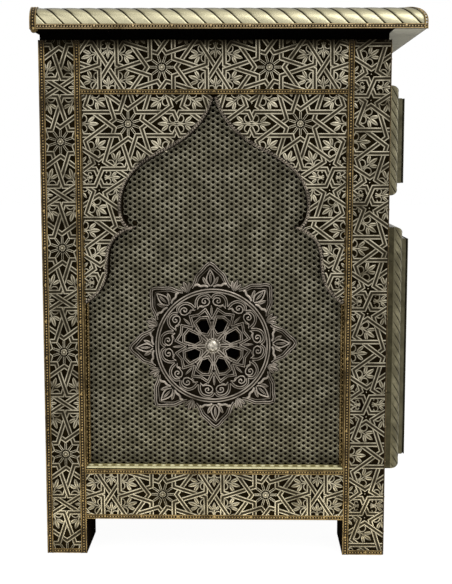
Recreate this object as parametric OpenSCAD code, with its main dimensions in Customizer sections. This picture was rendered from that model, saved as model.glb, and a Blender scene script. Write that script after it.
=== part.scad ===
// Nightstand: a wooden carcass clad in embossed metal, with one drawer over one hinged door.
// Millimetres. The front faces -Y and the top is +Z.
// The origin is the middle of the whole piece's footprint, on the floor.

/* [Overall] */
// Height from the floor to the top face
height = 600; // [560:5:660]
// Width over the clad faces of the posts
body_w = 440; // [400:5:520]
// Depth over the clad faces of the posts
body_d = 377.5; // [350:2.5:430]
// Open height under the aprons
foot_h = 40; // [25:1:60]

/* [Posts and rails] */
// Width of a post, seen from the front
post_w = 72; // [60:1:80]
// Depth of a post, seen from the side
post_d = 45; // [41:0.5:56]
// Height of the side top rails and the aprons
rail_h = 57.5; // [45:0.5:65]
// Thickness of the front and back rails
rail_t = 20; // [16:1:24]
// Height of the front top and middle rails
front_rail_h = 52; // [40:1:56]
// Height of the front bottom rail
bottom_rail_h = 50; // [40:1:56]
// Height of the back top rail
back_rail_h = 45; // [30:1:60]
// Length of the stub tenon on each rail end
tenon_l = 12; // [8:1:16]
// Thickness of a stub tenon
tenon_t = 8; // [6:0.5:9]
// Shoulder above and below a stub tenon
tenon_shoulder = 8; // [5:1:12]

/* [Boards] */
// Thickness of the outer side boards, behind the punched sheets
side_board_t = 10; // [6:1:15]
// Thickness of the inner boards that line the cabinet
inner_board_t = 12; // [9:1:18]
// Thickness of the bottom and divider boards
floor_board_t = 12; // [9:1:18]
// Thickness of the back panel
back_t = 6; // [4:1:9]
// Set-back of the back panel from the posts' back faces
back_inset = 4; // [0:1:10]
// Thickness of the board under the top
neck_t = 8; // [5:1:14]
// Set-back of that board from the clad faces
neck_inset = 1.5; // [0:0.5:5]

/* [Top] */
// Thickness of the top with its sheet
top_t = 23; // [19:1:30]
// Overhang of the top at the front
top_over_front = 32.3; // [20:0.1:45]
// Overhang of the top at each side
top_over_side = 31.4; // [20:0.1:45]
// Overhang of the top at the back
top_over_back = 3; // [0:0.5:8]
// Width of the edge mouldings round the top
edge_w = 22; // [19:1:28]
// Height of the straight foot of the edge moulding
edge_foot = 8.5; // [7:0.5:11]
// Width of the rounded part of the edge moulding
edge_round = 15; // [10:1:18]

/* [Metal cladding] */
// Thickness of the embossed sheets
sheet_t = 1.2; // [0.8:0.1:2]
// Thickness of the punched sheets and the top sheet
thin_sheet_t = 0.8; // [0.5:0.1:1.5]
// Width of the brass beaded strips
strip_w = 7; // [4:0.5:9]
// Width of the narrow strips on rails and top
strip_narrow = 5.5; // [4:0.5:7]
// How far the strips stand proud of the sheets
strip_proud = 0.8; // [0.4:0.1:1.2]
// Seam between neighbouring sheets and strips
seam = 0.2; // [0.1:0.05:0.4]

/* [Raised straps] */
// Width of the net of rosettes that the straps form
net_w = 105.2; // [100:0.1:110]
// Height of the net of rosettes
net_h = 115.5; // [110:0.1:120]
// Radius of the star in the heart of a rosette
heart_r = 15.4; // [14:0.1:17]
// Width of a raised strap
strap_w = 4.4; // [3:0.1:5]
// Height of a raised strap
strap_h = 0.6; // [0.3:0.1:1]
// Drop of the legs' upper rosettes below the top rail
rosette_drop = 50.5; // [0:0.5:115]
// Distance of the front legs' rosettes in front of the front face
rosette_out = 12; // [0:0.5:50]
// Distance from the middle to the top rail's rosette
rail_rosette = 56; // [0:0.5:58]
// Distance from the middle to the apron's rosette
apron_rosette = 58; // [0:0.5:58]

/* [Side panel] */
// Depth of the punched panel below the clad frame
recess = 20; // [17:0.5:26]
// Thickness of the spandrel boards with their sheet
spandrel_t = 16; // [10:0.5:17]
// Drop of the arch's point below the top rail
apex_drop = 2.8; // [1:0.1:8]
// Drop of the neck of the arch, where it turns from hollow to round
neck_drop = 60; // [50:1:75]
// Distance of the neck of the arch from the post
neck_in = 91.8; // [82:0.2:98]
// Drop of the widest point of the upper lobe
lobe_drop = 120.5; // [110:0.5:130]
// Distance of the upper lobe from the post
lobe_in = 42.2; // [32:0.2:50]
// Drop of the cusp
cusp_drop = 144.5; // [138:0.5:152]
// Distance of the cusp from the post
cusp_in = 56.2; // [52:0.2:64]
// Drop of the widest point of the lower lobe
haunch_drop = 185.5; // [175:0.5:195]
// Distance of the lower lobe from the post
haunch_in = 27.2; // [18:0.2:34]
// Drop of the arch's foot, where it meets the post
spring_drop = 230; // [215:1:245]

/* [Medallion] */
// Height of the medallion's centre above the apron
medallion_up = 137.5; // [110:0.5:150]
// Shift of the medallion towards the back, as it was nailed on
medallion_shift = 2; // [-6:1:6]
// Turn of the medallion, as it was nailed on
medallion_turn = 2; // [-5:1:5]
// Radius of the petal tips
petal_r = 95; // [86:0.5:102]
// Half width of a petal at the ring
petal_half = 23; // [18:1:24]
// Radius of the buds between the petals
bud_r = 79.5; // [74:0.5:84]
// Outer radius of the ring
ring_r = 64.5; // [55:0.5:67]
// Width of the ring
ring_w = 4.5; // [3:0.5:7]
// Thickness of the medallion's plate
medallion_t = 2.4; // [1.5:0.1:4]
// Height of the ring and the star above the plate
medallion_relief = 1.6; // [0.6:0.1:2.5]
// Inner and outer radius of the windows
window_r0 = 13.5; // [11:0.5:16]
// Outer radius of the windows
window_r1 = 31.5; // [28:0.5:36]
// Half width of a window
window_half = 6; // [4:0.2:7]
// Radius of the centre boss
boss_r = 6.5; // [4:0.5:9]
// Height of the centre boss above the relief
boss_h = 4; // [2:0.5:7]

/* [Drawer and door] */
// Clear height of the drawer's bay
bay_h = 108; // [95:1:120]
// How far the drawer front and the door lap over the frame
overlay = 8; // [5:0.5:10]
// Gap behind the drawer's lip
drawer_gap = 1; // [1:0.1:2]
// Thickness of the drawer front's lip
lip_t = 7.5; // [6:0.5:10]
// Depth of the part of the drawer front inside the bay
plug_t = 10; // [8:0.5:14]
// Gap behind the door
door_gap = 1.5; // [1.2:0.1:2.5]
// Thickness of the door's board
door_t = 14; // [12:0.5:18]
// Width of the round mouldings on the drawer front and door
mould_w = 13.5; // [10:0.5:18]
// Height of those mouldings
mould_h = 10; // [7:0.5:12]
// Thickness of the raised fields inside the mouldings
field_t = 17; // [12:0.5:20]
// Radius of the raised fields' rounded edges
field_round = 3; // [1:0.5:5]
// Depth of the drawer box behind its front
drawer_l = 320; // [220:5:330]
// Height of the drawer box
drawer_h = 88; // [60:1:90]
// Thickness of the drawer's sides and back
drawer_side_t = 10; // [8:0.5:13]
// Thickness of the drawer's bottom
drawer_bottom_t = 5; // [3:0.5:6]
// Height of the groove for the bottom above the sides' lower edges
groove_up = 8; // [6:0.5:12]
// Depth of that groove
groove_d = 4; // [3:0.5:5]
// Play at each side of the drawer
side_play = 1; // [0.6:0.1:1.5]
// Play under the drawer
run_play = 0.3; // [0.2:0.1:0.6]
// Play above the drawer's sides
kick_play = 1.5; // [1:0.1:3]
// Width of the runners and kickers
runner_w = 18; // [14:1:24]
// Height of the runners and kickers
runner_h = 12; // [10:1:14]

/* [Hardware] */
// Projection of a knob from its field
knob_l = 15.5; // [12:0.5:17]
// Radius of a knob's head
knob_r = 11; // [8:0.5:14]
// Distance of the door's knob from the door's free edge
knob_in = 38; // [30:1:60]
// Radius of the knob screws
screw_r = 2; // [1.5:0.25:2.5]
// Depth of the screw in the knob
screw_bite = 8; // [5:0.5:9]
// Length of a hinge
hinge_l = 50; // [40:1:60]
// Distance of each hinge from the door's end
hinge_end = 40; // [30:1:60]
// Radius of the hinge knuckles
knuckle_r = 3.5; // [3.2:0.1:4]
// Radius of the hinge pins
pin_r = 1.5; // [1.2:0.1:1.8]
// Thickness of the hinge leaves
leaf_t = 1.5; // [1:0.1:1.6]
// Width of the leaf on the post
leaf_w = 22; // [16:1:28]
// Length of the door catch
catch_l = 40; // [30:1:50]
// Height of the door catch
catch_h = 12; // [9:1:14]

/* [Hidden] */

$fn = 48;

// The front and back planes, with the whole depth centred on the origin
front_reach = body_d / 2 + door_gap + door_t + field_t + knob_l;
back_reach = body_d / 2 + top_over_back;
y_mid = (front_reach - back_reach) / 2;
y_front = y_mid - body_d / 2;
y_back = y_mid + body_d / 2;

// Heights, from the top down
z_top = height;
z_neck = height - top_t;
z_frame = z_neck - neck_t;
z_arch = z_frame - rail_h;
z_panel = foot_h + rail_h;
z_bay1 = z_frame - front_rail_h;
z_bay0 = z_bay1 - bay_h;
z_door1 = z_bay0 - front_rail_h;
z_door0 = foot_h + bottom_rail_h;

// Side frame
x_face = body_w / 2;
x_wood = x_face - sheet_t;
x_panel = x_face - recess;
x_board = x_panel - thin_sheet_t;
x_bay = x_face - post_w;
open_half = body_d / 2 - post_d;
tenon_play = 0.15;

// Drawer front and door
lap_half = x_bay + overlay;
y_lip = y_front - drawer_gap - lip_t;
y_plug = y_front - drawer_gap + plug_t;
y_door = y_front - door_gap - door_t;
z_drawer0 = z_bay0 - overlay;
z_drawer1 = z_bay1 + overlay;
z_leaf0 = z_door0 - overlay;
z_leaf1 = z_door1 + overlay;
z_drawer_mid = (z_drawer0 + z_drawer1) / 2;
z_door_mid = (z_leaf0 + z_leaf1) / 2;
box_half = x_bay - side_play;
z_box = z_bay0 + run_play;
field_gap = 0.3;
x_door_knob = lap_half - knob_in;
kerf = 0.05;

// Hinge
pin_play = 0.05;
leaf_play = 0.3;
x_hinge = -lap_half - knuckle_r;
y_hinge = y_front - knuckle_r - 0.1;
knuckle_l = hinge_l / 3;

// A box between two corners
module block(x0, x1, y0, y1, z0, z1) {
    translate([x0, y0, z0]) cube([x1 - x0, y1 - y0, z1 - z0]);
}

// Draws the children, modelled on the left, on the left or on the right
module on_side(side) {
    if (side == "left") children();
    else mirror([1, 0, 0]) children();
}

// Points along a cubic curve from p to s, without its first point
function curve(p, q, r, s, n = 8) = [for (i = [1:n]) let (t = i / n, u = 1 - t)
    u * u * u * p + 3 * u * u * t * q + 3 * u * t * t * r + t * t * t * s];

// Posts
// A side rail's tenon, grown by the given play, at one end of the rail from z0 to z1
module side_tenon(z0, z1, y_end, toward, play) {
    x1 = -(x_wood + x_board) / 2 + tenon_t / 2;
    length = tenon_l + play;
    y0 = toward > 0 ? y_end : y_end - length;
    block(x1 - tenon_t - play, x1 + play, y0, y0 + length,
        z0 + tenon_shoulder - play, z1 - tenon_shoulder + play);
}

// A front or back rail's tenon on its left end, grown by the given play
module cross_tenon(z0, z1, y0, y1, play) {
    mid = (y0 + y1) / 2;
    block(-x_bay - tenon_l - play, -x_bay, mid - tenon_t / 2 - play, mid + tenon_t / 2 + play,
        z0 + tenon_shoulder - play, z1 - tenon_shoulder + play);
}

function front_rails() = [[z_bay1, z_frame], [z_door1, z_bay0], [foot_h, z_door0]];
function back_rail_spans() = [[z_frame - back_rail_h, z_frame], [foot_h, z_door0 - floor_board_t]];
y_rail0 = y_front + sheet_t;
y_rail1 = y_rail0 + rail_t;
y_back_rail1 = y_back - back_inset - back_t;
y_back_rail0 = y_back_rail1 - rail_t;

module front_post(side) {
    color("#4a3320") on_side(side) difference() {
        block(-x_wood, -x_bay, y_front + sheet_t, y_front + post_d, 0, z_frame);
        side_tenon(z_arch, z_frame, y_front + post_d, -1, tenon_play);
        side_tenon(foot_h, z_panel, y_front + post_d, -1, tenon_play);
        for (r = front_rails()) cross_tenon(r[0], r[1], y_rail0, y_rail1, tenon_play);
    }
}

module rear_post(side) {
    color("#4a3320") on_side(side) difference() {
        block(-x_wood, -x_bay, y_back - post_d, y_back, 0, z_frame);
        side_tenon(z_arch, z_frame, y_back - post_d, 1, tenon_play);
        side_tenon(foot_h, z_panel, y_back - post_d, 1, tenon_play);
        for (r = back_rail_spans()) cross_tenon(r[0], r[1], y_back_rail0, y_back_rail1, tenon_play);
    }
}

// Rails
module side_rail(side, z0, z1) {
    color("#4a3320") on_side(side) {
        block(-x_wood, -x_board, y_front + post_d, y_back - post_d, z0, z1);
        side_tenon(z0, z1, y_front + post_d, -1, 0);
        side_tenon(z0, z1, y_back - post_d, 1, 0);
    }
}

module cross_rail(z0, z1, y0, y1) {
    color("#4a3320") {
        block(-x_bay, x_bay, y0, y1, z0, z1);
        cross_tenon(z0, z1, y0, y1, 0);
        mirror([1, 0, 0]) cross_tenon(z0, z1, y0, y1, 0);
    }
}

module back_rails() {
    for (r = back_rail_spans()) cross_rail(r[0], r[1], y_back_rail0, y_back_rail1);
}

// Boards
module side_board(side) {
    color("#2c2119") on_side(side)
        block(-x_board, -x_board + side_board_t, y_front + post_d, y_back - post_d, foot_h, z_frame);
}

module inner_board(side) {
    color("#6b4a2c") on_side(side)
        block(-x_bay - inner_board_t, -x_bay, y_front + post_d, y_back - post_d, z_door0, z_frame);
}

module divider_board() {
    color("#6b4a2c") block(-x_bay, x_bay, y_rail1, y_back_rail1, z_door1, z_door1 + floor_board_t);
}

// The bottom board widens between the posts to carry the inner boards
module bottom_board() {
    x_wide = x_board - side_board_t;
    color("#6b4a2c") {
        block(-x_bay, x_bay, y_rail1, y_back_rail1, z_door0 - floor_board_t, z_door0);
        block(-x_wide, x_wide, y_front + post_d, y_back - post_d, z_door0 - floor_board_t, z_door0);
    }
}

module back_panel() {
    color("#3a2a1c") block(-x_bay, x_bay, y_back_rail1, y_back_rail1 + back_t, foot_h, z_frame);
}

module neck_board() {
    x = x_face - neck_inset;
    color("#17110d") block(-x, x, y_front + neck_inset, y_back - neck_inset, z_frame, z_neck);
}

// Top
x_edge = x_face + top_over_side;
y_edge = y_front - top_over_front;
y_end = y_back + top_over_back;

// Cross-section of the edge moulding from its inner face outwards, grown on the outside
function edge_section(grow = 0) = let (rx = edge_round, rz = top_t - edge_foot) concat(
    [[0, 0], [edge_w + grow, 0]],
    [for (a = [0:7.5:90])
        [edge_w - rx + (rx + grow) * cos(a), min(top_t, edge_foot + (rz + grow) * sin(a))]],
    [[0, top_t]]);

// A length of edge moulding along +X, with its outer face towards -Y at y = 0
module edge_bar(length, grow = 0) {
    translate([0, edge_w, 0]) rotate([90, 0, 90]) mirror([1, 0, 0])
        linear_extrude(length) polygon(edge_section(grow));
}

module top_board() {
    color("#5a4028")
        block(-x_edge + edge_w, x_edge - edge_w, y_edge + edge_w, y_end, z_neck, z_top - thin_sheet_t);
}

module top_sheet() {
    color("#8d8a68")
        block(-x_edge + edge_w, x_edge - edge_w, y_edge + edge_w, y_end, z_top - thin_sheet_t, z_top);
}

module top_front_moulding() {
    color("#b3ab84") translate([-x_edge, y_edge, z_neck]) intersection() {
        edge_bar(2 * x_edge);
        linear_extrude(top_t) polygon([[kerf, 0], [2 * x_edge - kerf, 0],
            [2 * x_edge - edge_w - kerf, edge_w], [edge_w + kerf, edge_w]]);
    }
}

module top_side_moulding(side) {
    length = y_end - y_edge;
    color("#b3ab84") on_side(side) translate([-x_edge, y_edge, z_neck]) rotate(-90) mirror([1, 0, 0])
        intersection() {
            edge_bar(length);
            linear_extrude(top_t)
                polygon([[kerf, 0], [length, 0], [length, edge_w], [edge_w + kerf, edge_w]]);
        }
}

// Brass strips along the foot of the edge mouldings and over their back ends
module top_strips() {
    length = y_end - y_edge;
    color("#a8873f") {
        block(-x_edge, x_edge, y_edge - strip_proud, y_edge, z_neck, z_neck + strip_narrow);
        for (side = ["left", "right"]) on_side(side) {
            block(-x_edge - strip_proud, -x_edge, y_edge + seam, y_end - strip_w - seam,
                z_neck, z_neck + strip_narrow);
            translate([-x_edge, y_end - strip_w, z_neck]) rotate(-90) mirror([1, 0, 0]) difference() {
                edge_bar(strip_w, strip_proud);
                translate([-1, 0, 0]) edge_bar(strip_w + 2);
            }
        }
    }
}

// Side panels
medallion_y = y_mid + medallion_shift;
medallion_z = z_panel + medallion_up;

module punched_sheet(side) {
    hole = (window_r1 + ring_r) / 2 - 8;
    color("#6d6a4c") on_side(side) difference() {
        union() {
            block(-x_panel, -x_board, y_front + post_d, y_back - post_d, z_panel, z_arch);
            block(-x_wood, -x_board, y_front + post_d, y_back - post_d, z_panel, z_panel + thin_sheet_t);
        }
        translate([-x_panel - 1, medallion_y, medallion_z]) rotate([0, 90, 0])
            cylinder(r = hole, h = thin_sheet_t + 2);
    }
}

// The arch's outline from its point down to the post, for the half on the +Y side
function arch_outline() = let (
    apex = [0, z_arch - apex_drop],
    neck = [open_half - neck_in, z_arch - neck_drop],
    lobe = [open_half - lobe_in, z_arch - lobe_drop],
    cusp = [open_half - cusp_in, z_arch - cusp_drop],
    haunch = [open_half - haunch_in, z_arch - haunch_drop],
    foot = [open_half, z_arch - spring_drop],
    slope = [26, -12.5])
    concat([apex],
        curve(apex, apex + [6, -24.7], neck - slope, neck, 10),
        curve(neck, neck + slope, lobe + [0, 33], lobe, 10),
        curve(lobe, lobe - [0, 13], cusp + [9.5, 2], cusp, 6),
        curve(cusp, cusp + [19.5, -6], haunch + [0, 26], haunch, 8),
        curve(haunch, haunch - [0, 24], foot + [-14.75, 9.6], foot, 8));

module spandrel(side, end) {
    color("#8b8863") on_side(side) translate([-x_panel - spandrel_t, y_mid, 0])
        mirror([0, end == "rear" ? 0 : 1, 0]) rotate([90, 0, 90])
        linear_extrude(spandrel_t) polygon(concat(
            [[seam, z_arch], [seam, z_arch - apex_drop - 0.5]],
            [for (p = arch_outline()) if (p[0] > seam) p],
            [[open_half, z_arch]]));
}

// A closed outline from its upper half, whose last point may lie on the axis
function both_sides(half) = concat(half,
    [for (i = [len(half) - 1:-1:0]) if (half[i][1] > 0) [half[i][0], -half[i][1]]]);

// Half outlines as [radius, half width], from the ring outwards
function petal_half_outline() = let (
    base = [ring_r - 4, petal_half + 1],
    hip = [ring_r + 3.5, petal_half - 2.5],
    waist = [petal_r - 12, petal_half - 10],
    tip = [petal_r, 0])
    concat([base, hip],
        curve(hip, hip + [4, -3.5], waist + [-4, 4], waist, 5),
        curve(waist, waist + [5, -4], tip - [6, -2], tip, 5));

function bud_half_outline() = [
    [ring_r - 4, 6], [ring_r + 3.5, 3.6], [ring_r + 6.5, 6.2],
    [bud_r - 6, 5.6], [bud_r - 4.5, 2.4], [bud_r - 1.5, 2], [bud_r, 0]];

module window_shape(grow = 0) {
    half = window_half + grow;
    polygon([[window_r0 - 2 * grow, 0], [window_r0 + 4.5 - grow, half * 0.8],
        [window_r1 - 2.5 + grow / 2, half], [window_r1 + 1.5 * grow, 0],
        [window_r1 - 2.5 + grow / 2, -half], [window_r0 + 4.5 - grow, -half * 0.8]]);
}

module medallion(side) {
    color("#77705a") on_side(side) translate([-x_panel, medallion_y, medallion_z]) rotate([0, -90, 0])
        rotate(medallion_turn) {
            difference() {
                union() {
                    linear_extrude(medallion_t) {
                        circle(r = ring_r);
                        for (k = [0:7]) {
                            rotate(45 * k) polygon(both_sides(petal_half_outline()));
                            rotate(45 * k + 22.5) polygon(both_sides(bud_half_outline()));
                        }
                    }
                    linear_extrude(medallion_t + medallion_relief) {
                        difference() {
                            circle(r = ring_r);
                            circle(r = ring_r - ring_w);
                        }
                        for (k = [0:7]) rotate(45 * k + 22.5) window_shape(2.6);
                        circle(r = window_r0);
                    }
                }
                for (k = [0:7]) rotate(45 * k + 22.5) translate([0, 0, -1])
                    linear_extrude(medallion_t + medallion_relief + 2) window_shape();
            }
            translate([0, 0, medallion_t + medallion_relief]) rotate_extrude()
                intersection() {
                    scale([boss_r, boss_h]) circle(r = 1);
                    square([boss_r, boss_h]);
                }
        }
}

// Raised straps, drawn flat in one cell of the net with a rosette in its middle
net_x = net_w / 2;
net_z = net_h / 2;
side_cross = 0.42 * net_z;
crossing = [0.614 * net_x, 0.668 * net_z];
level_z = 0.838 * net_z;
level_x = [0.051 * net_x, 0.54 * net_x];
side_tip = [0.935 * net_x, 0.218 * net_z];
shoulder = [0.498 * net_x, 0.707 * net_z];
wing = [[0.89 * net_x, -0.326 * net_z], [0.726 * net_x, -0.734 * net_z]];
run_out = 0.133 * net_x;

function at_angle(r, a) = [r * cos(a), r * sin(a)];
function unit(v) = v / norm(v);
function backwards(line) = [for (i = [len(line) - 1:-1:0]) line[i]];

upper_strap = [[net_x, side_cross], crossing, [0, heart_r], [-crossing[0], crossing[1]], [-net_x, side_cross]];
middle_strap = [[net_x, 0.08 * net_z], side_tip, at_angle(heart_r, 54), [-level_x[0], level_z],
    [-level_x[1], level_z], [-crossing[0], net_z]];
outer_strap = [[0, net_z], shoulder, at_angle(heart_r, 18), wing[0], wing[1], [net_x + run_out, -net_z]];

// One edge of a strap of the given half width, mitred at the line's corners
function strap_edge(line, half) = [for (i = [0:len(line) - 1]) let (
    before = unit(i > 0 ? line[i] - line[i - 1] : line[1] - line[0]),
    after = i < len(line) - 1 ? unit(line[i + 1] - line[i]) : before,
    normal = [-before[1], before[0]],
    mitre = unit(normal + [-after[1], after[0]]))
    line[i] + mitre * half / (mitre * normal)];

module strap(line) {
    polygon(concat(strap_edge(line, strap_w / 2), backwards(strap_edge(line, -strap_w / 2))));
}

module straps_of_cell() {
    for (sz = [1, -1]) scale([1, sz]) strap(upper_strap);
    for (sx = [1, -1], sz = [1, -1]) scale([sx, sz]) {
        strap(middle_strap);
        strap(outer_strap);
    }
}

// The net over a rectangle from a to b, with a rosette at the given place, upright or lying
module straps(a, b, rosette, lying = false) {
    cell = lying ? [net_h, net_w] : [net_w, net_h];
    first = [for (k = [0, 1]) floor((a[k] - rosette[k]) / cell[k] + 0.5)];
    last = [for (k = [0, 1]) ceil((b[k] - rosette[k]) / cell[k] - 0.5)];
    intersection() {
        translate(a) square(b - a);
        for (i = [first[0]:last[0]], j = [first[1]:last[1]])
            translate(rosette + [i * cell[0], j * cell[1]]) rotate(lying ? 90 : 0) straps_of_cell();
    }
}

// Raises a drawing in (Y, Z) from the left face, or one in (X, Z) from the front
module raise_left() {
    translate([-x_face - strap_h, 0, 0]) rotate([90, 0, 90]) linear_extrude(strap_h) children();
}

module raise_front() {
    translate([0, y_front, 0]) rotate([90, 0, 0]) linear_extrude(strap_h) children();
}

// Embossed sheets over the posts and rails
z_rosette = z_arch - rosette_drop;
module side_frame_sheets(side) {
    y0 = y_front + post_d;
    y1 = y_back - post_d;
    z0 = strip_narrow + seam;
    color("#8b8863") on_side(side) {
        block(-x_face, -x_wood, y_front, y_front + post_d, 0, z_frame);
        block(-x_face, -x_wood, y_back - post_d, y_back, 0, z_frame);
        for (r = [[foot_h, z_panel], [z_arch, z_frame]])
            block(-x_face, -x_wood, y0 + seam, y1 - seam, r[0], r[1]);
        raise_left() {
            straps([y1 + strip_w + seam, z0], [y_back - strip_w - seam, z_frame],
                [y_back - post_d / 2, z_rosette]);
            straps([y_front, z0], [y0 - strip_w - seam, z_frame], [y_front - rosette_out, z_rosette]);
            straps([y0 + seam, z_arch + z0], [y1 - seam, z_frame],
                [y_mid + rail_rosette, (z_arch + z_frame) / 2], true);
            straps([y0 + seam, foot_h + z0], [y1 - seam, z_panel - z0],
                [y_mid + apron_rosette, (foot_h + z_panel) / 2], true);
        }
    }
}

module front_frame_sheets() {
    leaf_edge = x_hinge - leaf_w - 1;
    color("#8b8863") {
        for (side = ["left", "right"]) on_side(side) {
            block(-x_wood + seam, -x_bay, y_front, y_rail0, 0, z_frame);
            raise_front() difference() {
                straps([-x_face + strip_w + seam, strip_narrow + seam], [-lap_half - 1, z_frame],
                    [-x_bay - post_w / 2, z_rosette]);
                for (z = hinge_starts())
                    translate([leaf_edge, z - 2]) square([-leaf_edge, hinge_l + 4]);
            }
        }
        for (r = front_rails())
            block(-x_bay + seam, x_bay - seam, y_front, y_rail0, r[0], r[1]);
        for (r = [[foot_h, z_leaf0 - 1], [z_leaf1 + 1, z_drawer0 - 1], [z_drawer1 + 1, z_frame]])
            raise_front() straps([-x_bay + strip_w, r[0]], [x_bay - strip_w, r[1]],
                [0, (r[0] + r[1]) / 2], true);
    }
}

// Beaded brass strips nailed over the seams of the sheets
module side_strips(side) {
    y0 = y_front + post_d;
    y1 = y_back - post_d;
    outside = -x_face - strip_proud;
    color("#a8873f") on_side(side) {
        block(outside, -x_face, y_back - strip_w, y_back, 0, z_frame);
        block(outside, -x_face, y1, y1 + strip_w, 0, z_frame);
        block(outside, -x_face, y0 - strip_w, y0, 0, z_frame);
        for (z = [foot_h, z_panel - strip_narrow, z_arch])
            block(outside, -x_face, y0 + seam, y1 - seam, z, z + strip_narrow);
        block(outside, -x_face, y1 + strip_w + seam, y_back - strip_w - seam, 0, strip_narrow);
        block(outside, -x_face, y_front, y0 - strip_w - seam, 0, strip_narrow);
    }
}

module front_strips() {
    color("#a8873f") for (side = ["left", "right"]) on_side(side) {
        z0 = strip_narrow + seam;
        y0 = y_front - strip_proud;
        block(-x_face + seam, -x_face + strip_w, y0, y_front, z0, z_frame);
        block(-x_bay - strip_w, -x_bay, y0, y_front, z0, z_frame);
        block(-x_face + seam, -x_bay, y0, y_front, 0, strip_narrow);
    }
}

// Drawer guides, screwed to the inner boards
module drawer_runners() {
    color("#7d5a36") for (side = ["left", "right"]) on_side(side)
        block(-x_bay, -x_bay + runner_w, y_rail1, y_back_rail1, z_bay0 - runner_h, z_bay0);
}

module drawer_kickers() {
    z0 = z_box + drawer_h + kick_play;
    color("#7d5a36") for (side = ["left", "right"]) on_side(side)
        block(-x_bay, -x_bay + runner_w, y_rail1, y_back_rail1, z0, z0 + runner_h);
}

// Drawer
module through_screw_hole(x, z, y0, y1) {
    translate([x, y0 - 1, z]) rotate([-90, 0, 0]) cylinder(r = screw_r + 0.2, h = y1 - y0 + 2);
}

module drawer_front() {
    color("#7a7652") difference() {
        union() {
            block(-lap_half, lap_half, y_lip, y_front - drawer_gap, z_drawer0, z_drawer1);
            block(-box_half, box_half, y_front - drawer_gap, y_plug, z_box, z_bay1 - kick_play);
        }
        through_screw_hole(0, z_drawer_mid, y_lip, y_plug);
    }
}

// A round moulding in four mitred lengths, flat in XY and rising +Z, round a w by h outline
module mould_frame(w, h) {
    module bar(length) {
        intersection() {
            rotate([90, 0, 90]) linear_extrude(length, center = true)
                polygon(concat([[0, 0]], [for (a = [180:-15:0])
                    [mould_w / 2 * (1 + cos(a)), mould_h * (0.35 + 0.65 * sin(a))]], [[mould_w, 0]]));
            linear_extrude(mould_h) polygon([[-length / 2 + kerf, 0], [length / 2 - kerf, 0],
                [length / 2 - mould_w - kerf, mould_w], [-length / 2 + mould_w + kerf, mould_w]]);
        }
    }
    for (turn = [0, 180]) {
        rotate(turn) translate([0, -h / 2, 0]) bar(w);
        rotate(turn + 90) translate([0, -w / 2, 0]) bar(h);
    }
}

module drawer_moulding() {
    color("#76714a") translate([0, y_lip, z_drawer_mid]) rotate([90, 0, 0])
        mould_frame(2 * lap_half, z_drawer1 - z_drawer0);
}

module field_block(w, h, hole_x) {
    gap = mould_w + field_gap;
    difference() {
        rounded_slab(w - 2 * gap, h - 2 * gap, field_t, field_round);
        translate([hole_x, 0, -1]) cylinder(r = screw_r + 0.2, h = field_t + 2);
    }
}

// A slab with quarter-round front edges: the common part of two extruded sections
module rounded_slab(w, h, t, r) {
    module section(size) {
        polygon(concat([[-size / 2, 0]],
            [for (a = [180:-15:90]) [-size / 2 + r + r * cos(a), t - r + r * sin(a)]],
            [for (a = [90:-15:0]) [size / 2 - r + r * cos(a), t - r + r * sin(a)]],
            [[size / 2, 0]]));
    }
    intersection() {
        rotate([90, 0, 0]) linear_extrude(h, center = true) section(w);
        rotate([90, 0, 90]) linear_extrude(w, center = true) section(h);
    }
}

module drawer_field() {
    color("#6b6b4a") translate([0, y_lip, z_drawer_mid]) rotate([90, 0, 0])
        field_block(2 * lap_half, z_drawer1 - z_drawer0, 0);
}

groove_play = 0.15;
module bottom_groove(play) {
    edge = box_half - drawer_side_t + groove_d;
    block(-edge - play, edge + play, y_plug - groove_d - play, y_plug + drawer_l,
        z_box + groove_up - play, z_box + groove_up + drawer_bottom_t + play);
}

module drawer_sides() {
    color("#8a6a44") for (side = ["left", "right"]) on_side(side) difference() {
        block(-box_half, -box_half + drawer_side_t, y_plug, y_plug + drawer_l, z_box, z_box + drawer_h);
        bottom_groove(groove_play);
    }
}

module drawer_back() {
    x = box_half - drawer_side_t;
    color("#8a6a44") block(-x, x, y_plug + drawer_l - drawer_side_t, y_plug + drawer_l,
        z_box + groove_up + drawer_bottom_t, z_box + drawer_h - 3);
}

module drawer_bottom() {
    edge = box_half - drawer_side_t + groove_d;
    color("#9a7a50") block(-edge, edge, y_plug, y_plug + drawer_l,
        z_box + groove_up, z_box + groove_up + drawer_bottom_t);
}

// A turned knob standing on +Z, with a blind hole for its screw
module knob() {
    rotate_extrude() difference() {
        polygon(concat([[0, 0], [knob_r * 0.82, 0], [knob_r * 0.82, 1.2], [knob_r * 0.55, 2.6]],
            curve([knob_r * 0.55, 2.6], [knob_r * 0.36, 4.4], [knob_r * 0.42, 5.6], [knob_r * 0.8, 6.6], 6),
            curve([knob_r * 0.8, 6.6], [knob_r * 1.05, 7.4], [knob_r * 1.05, 9.6], [knob_r * 0.86, 11], 6),
            curve([knob_r * 0.86, 11], [knob_r * 0.6, 13.4], [knob_r * 0.3, knob_l], [0, knob_l], 8)));
        square([screw_r + pin_play, screw_bite + 0.5]);
    }
}

// A pan-head screw on +Z, with its head below z = 0
module knob_screw(length) {
    cylinder(r = screw_r, h = length);
    translate([0, 0, -2]) difference() {
        cylinder(r = 2 * screw_r, h = 2);
        translate([-0.4, -2 * screw_r, -1]) cube([0.8, 4 * screw_r, 1.8]);
    }
}

module drawer_knob() {
    color("#b08d45") translate([0, y_lip - field_t, z_drawer_mid]) rotate([90, 0, 0]) knob();
}

module drawer_knob_screw() {
    color("#b9b6aa") translate([0, y_plug, z_drawer_mid]) rotate([90, 0, 0])
        knob_screw(y_plug - y_lip + field_t + screw_bite);
}

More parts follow.
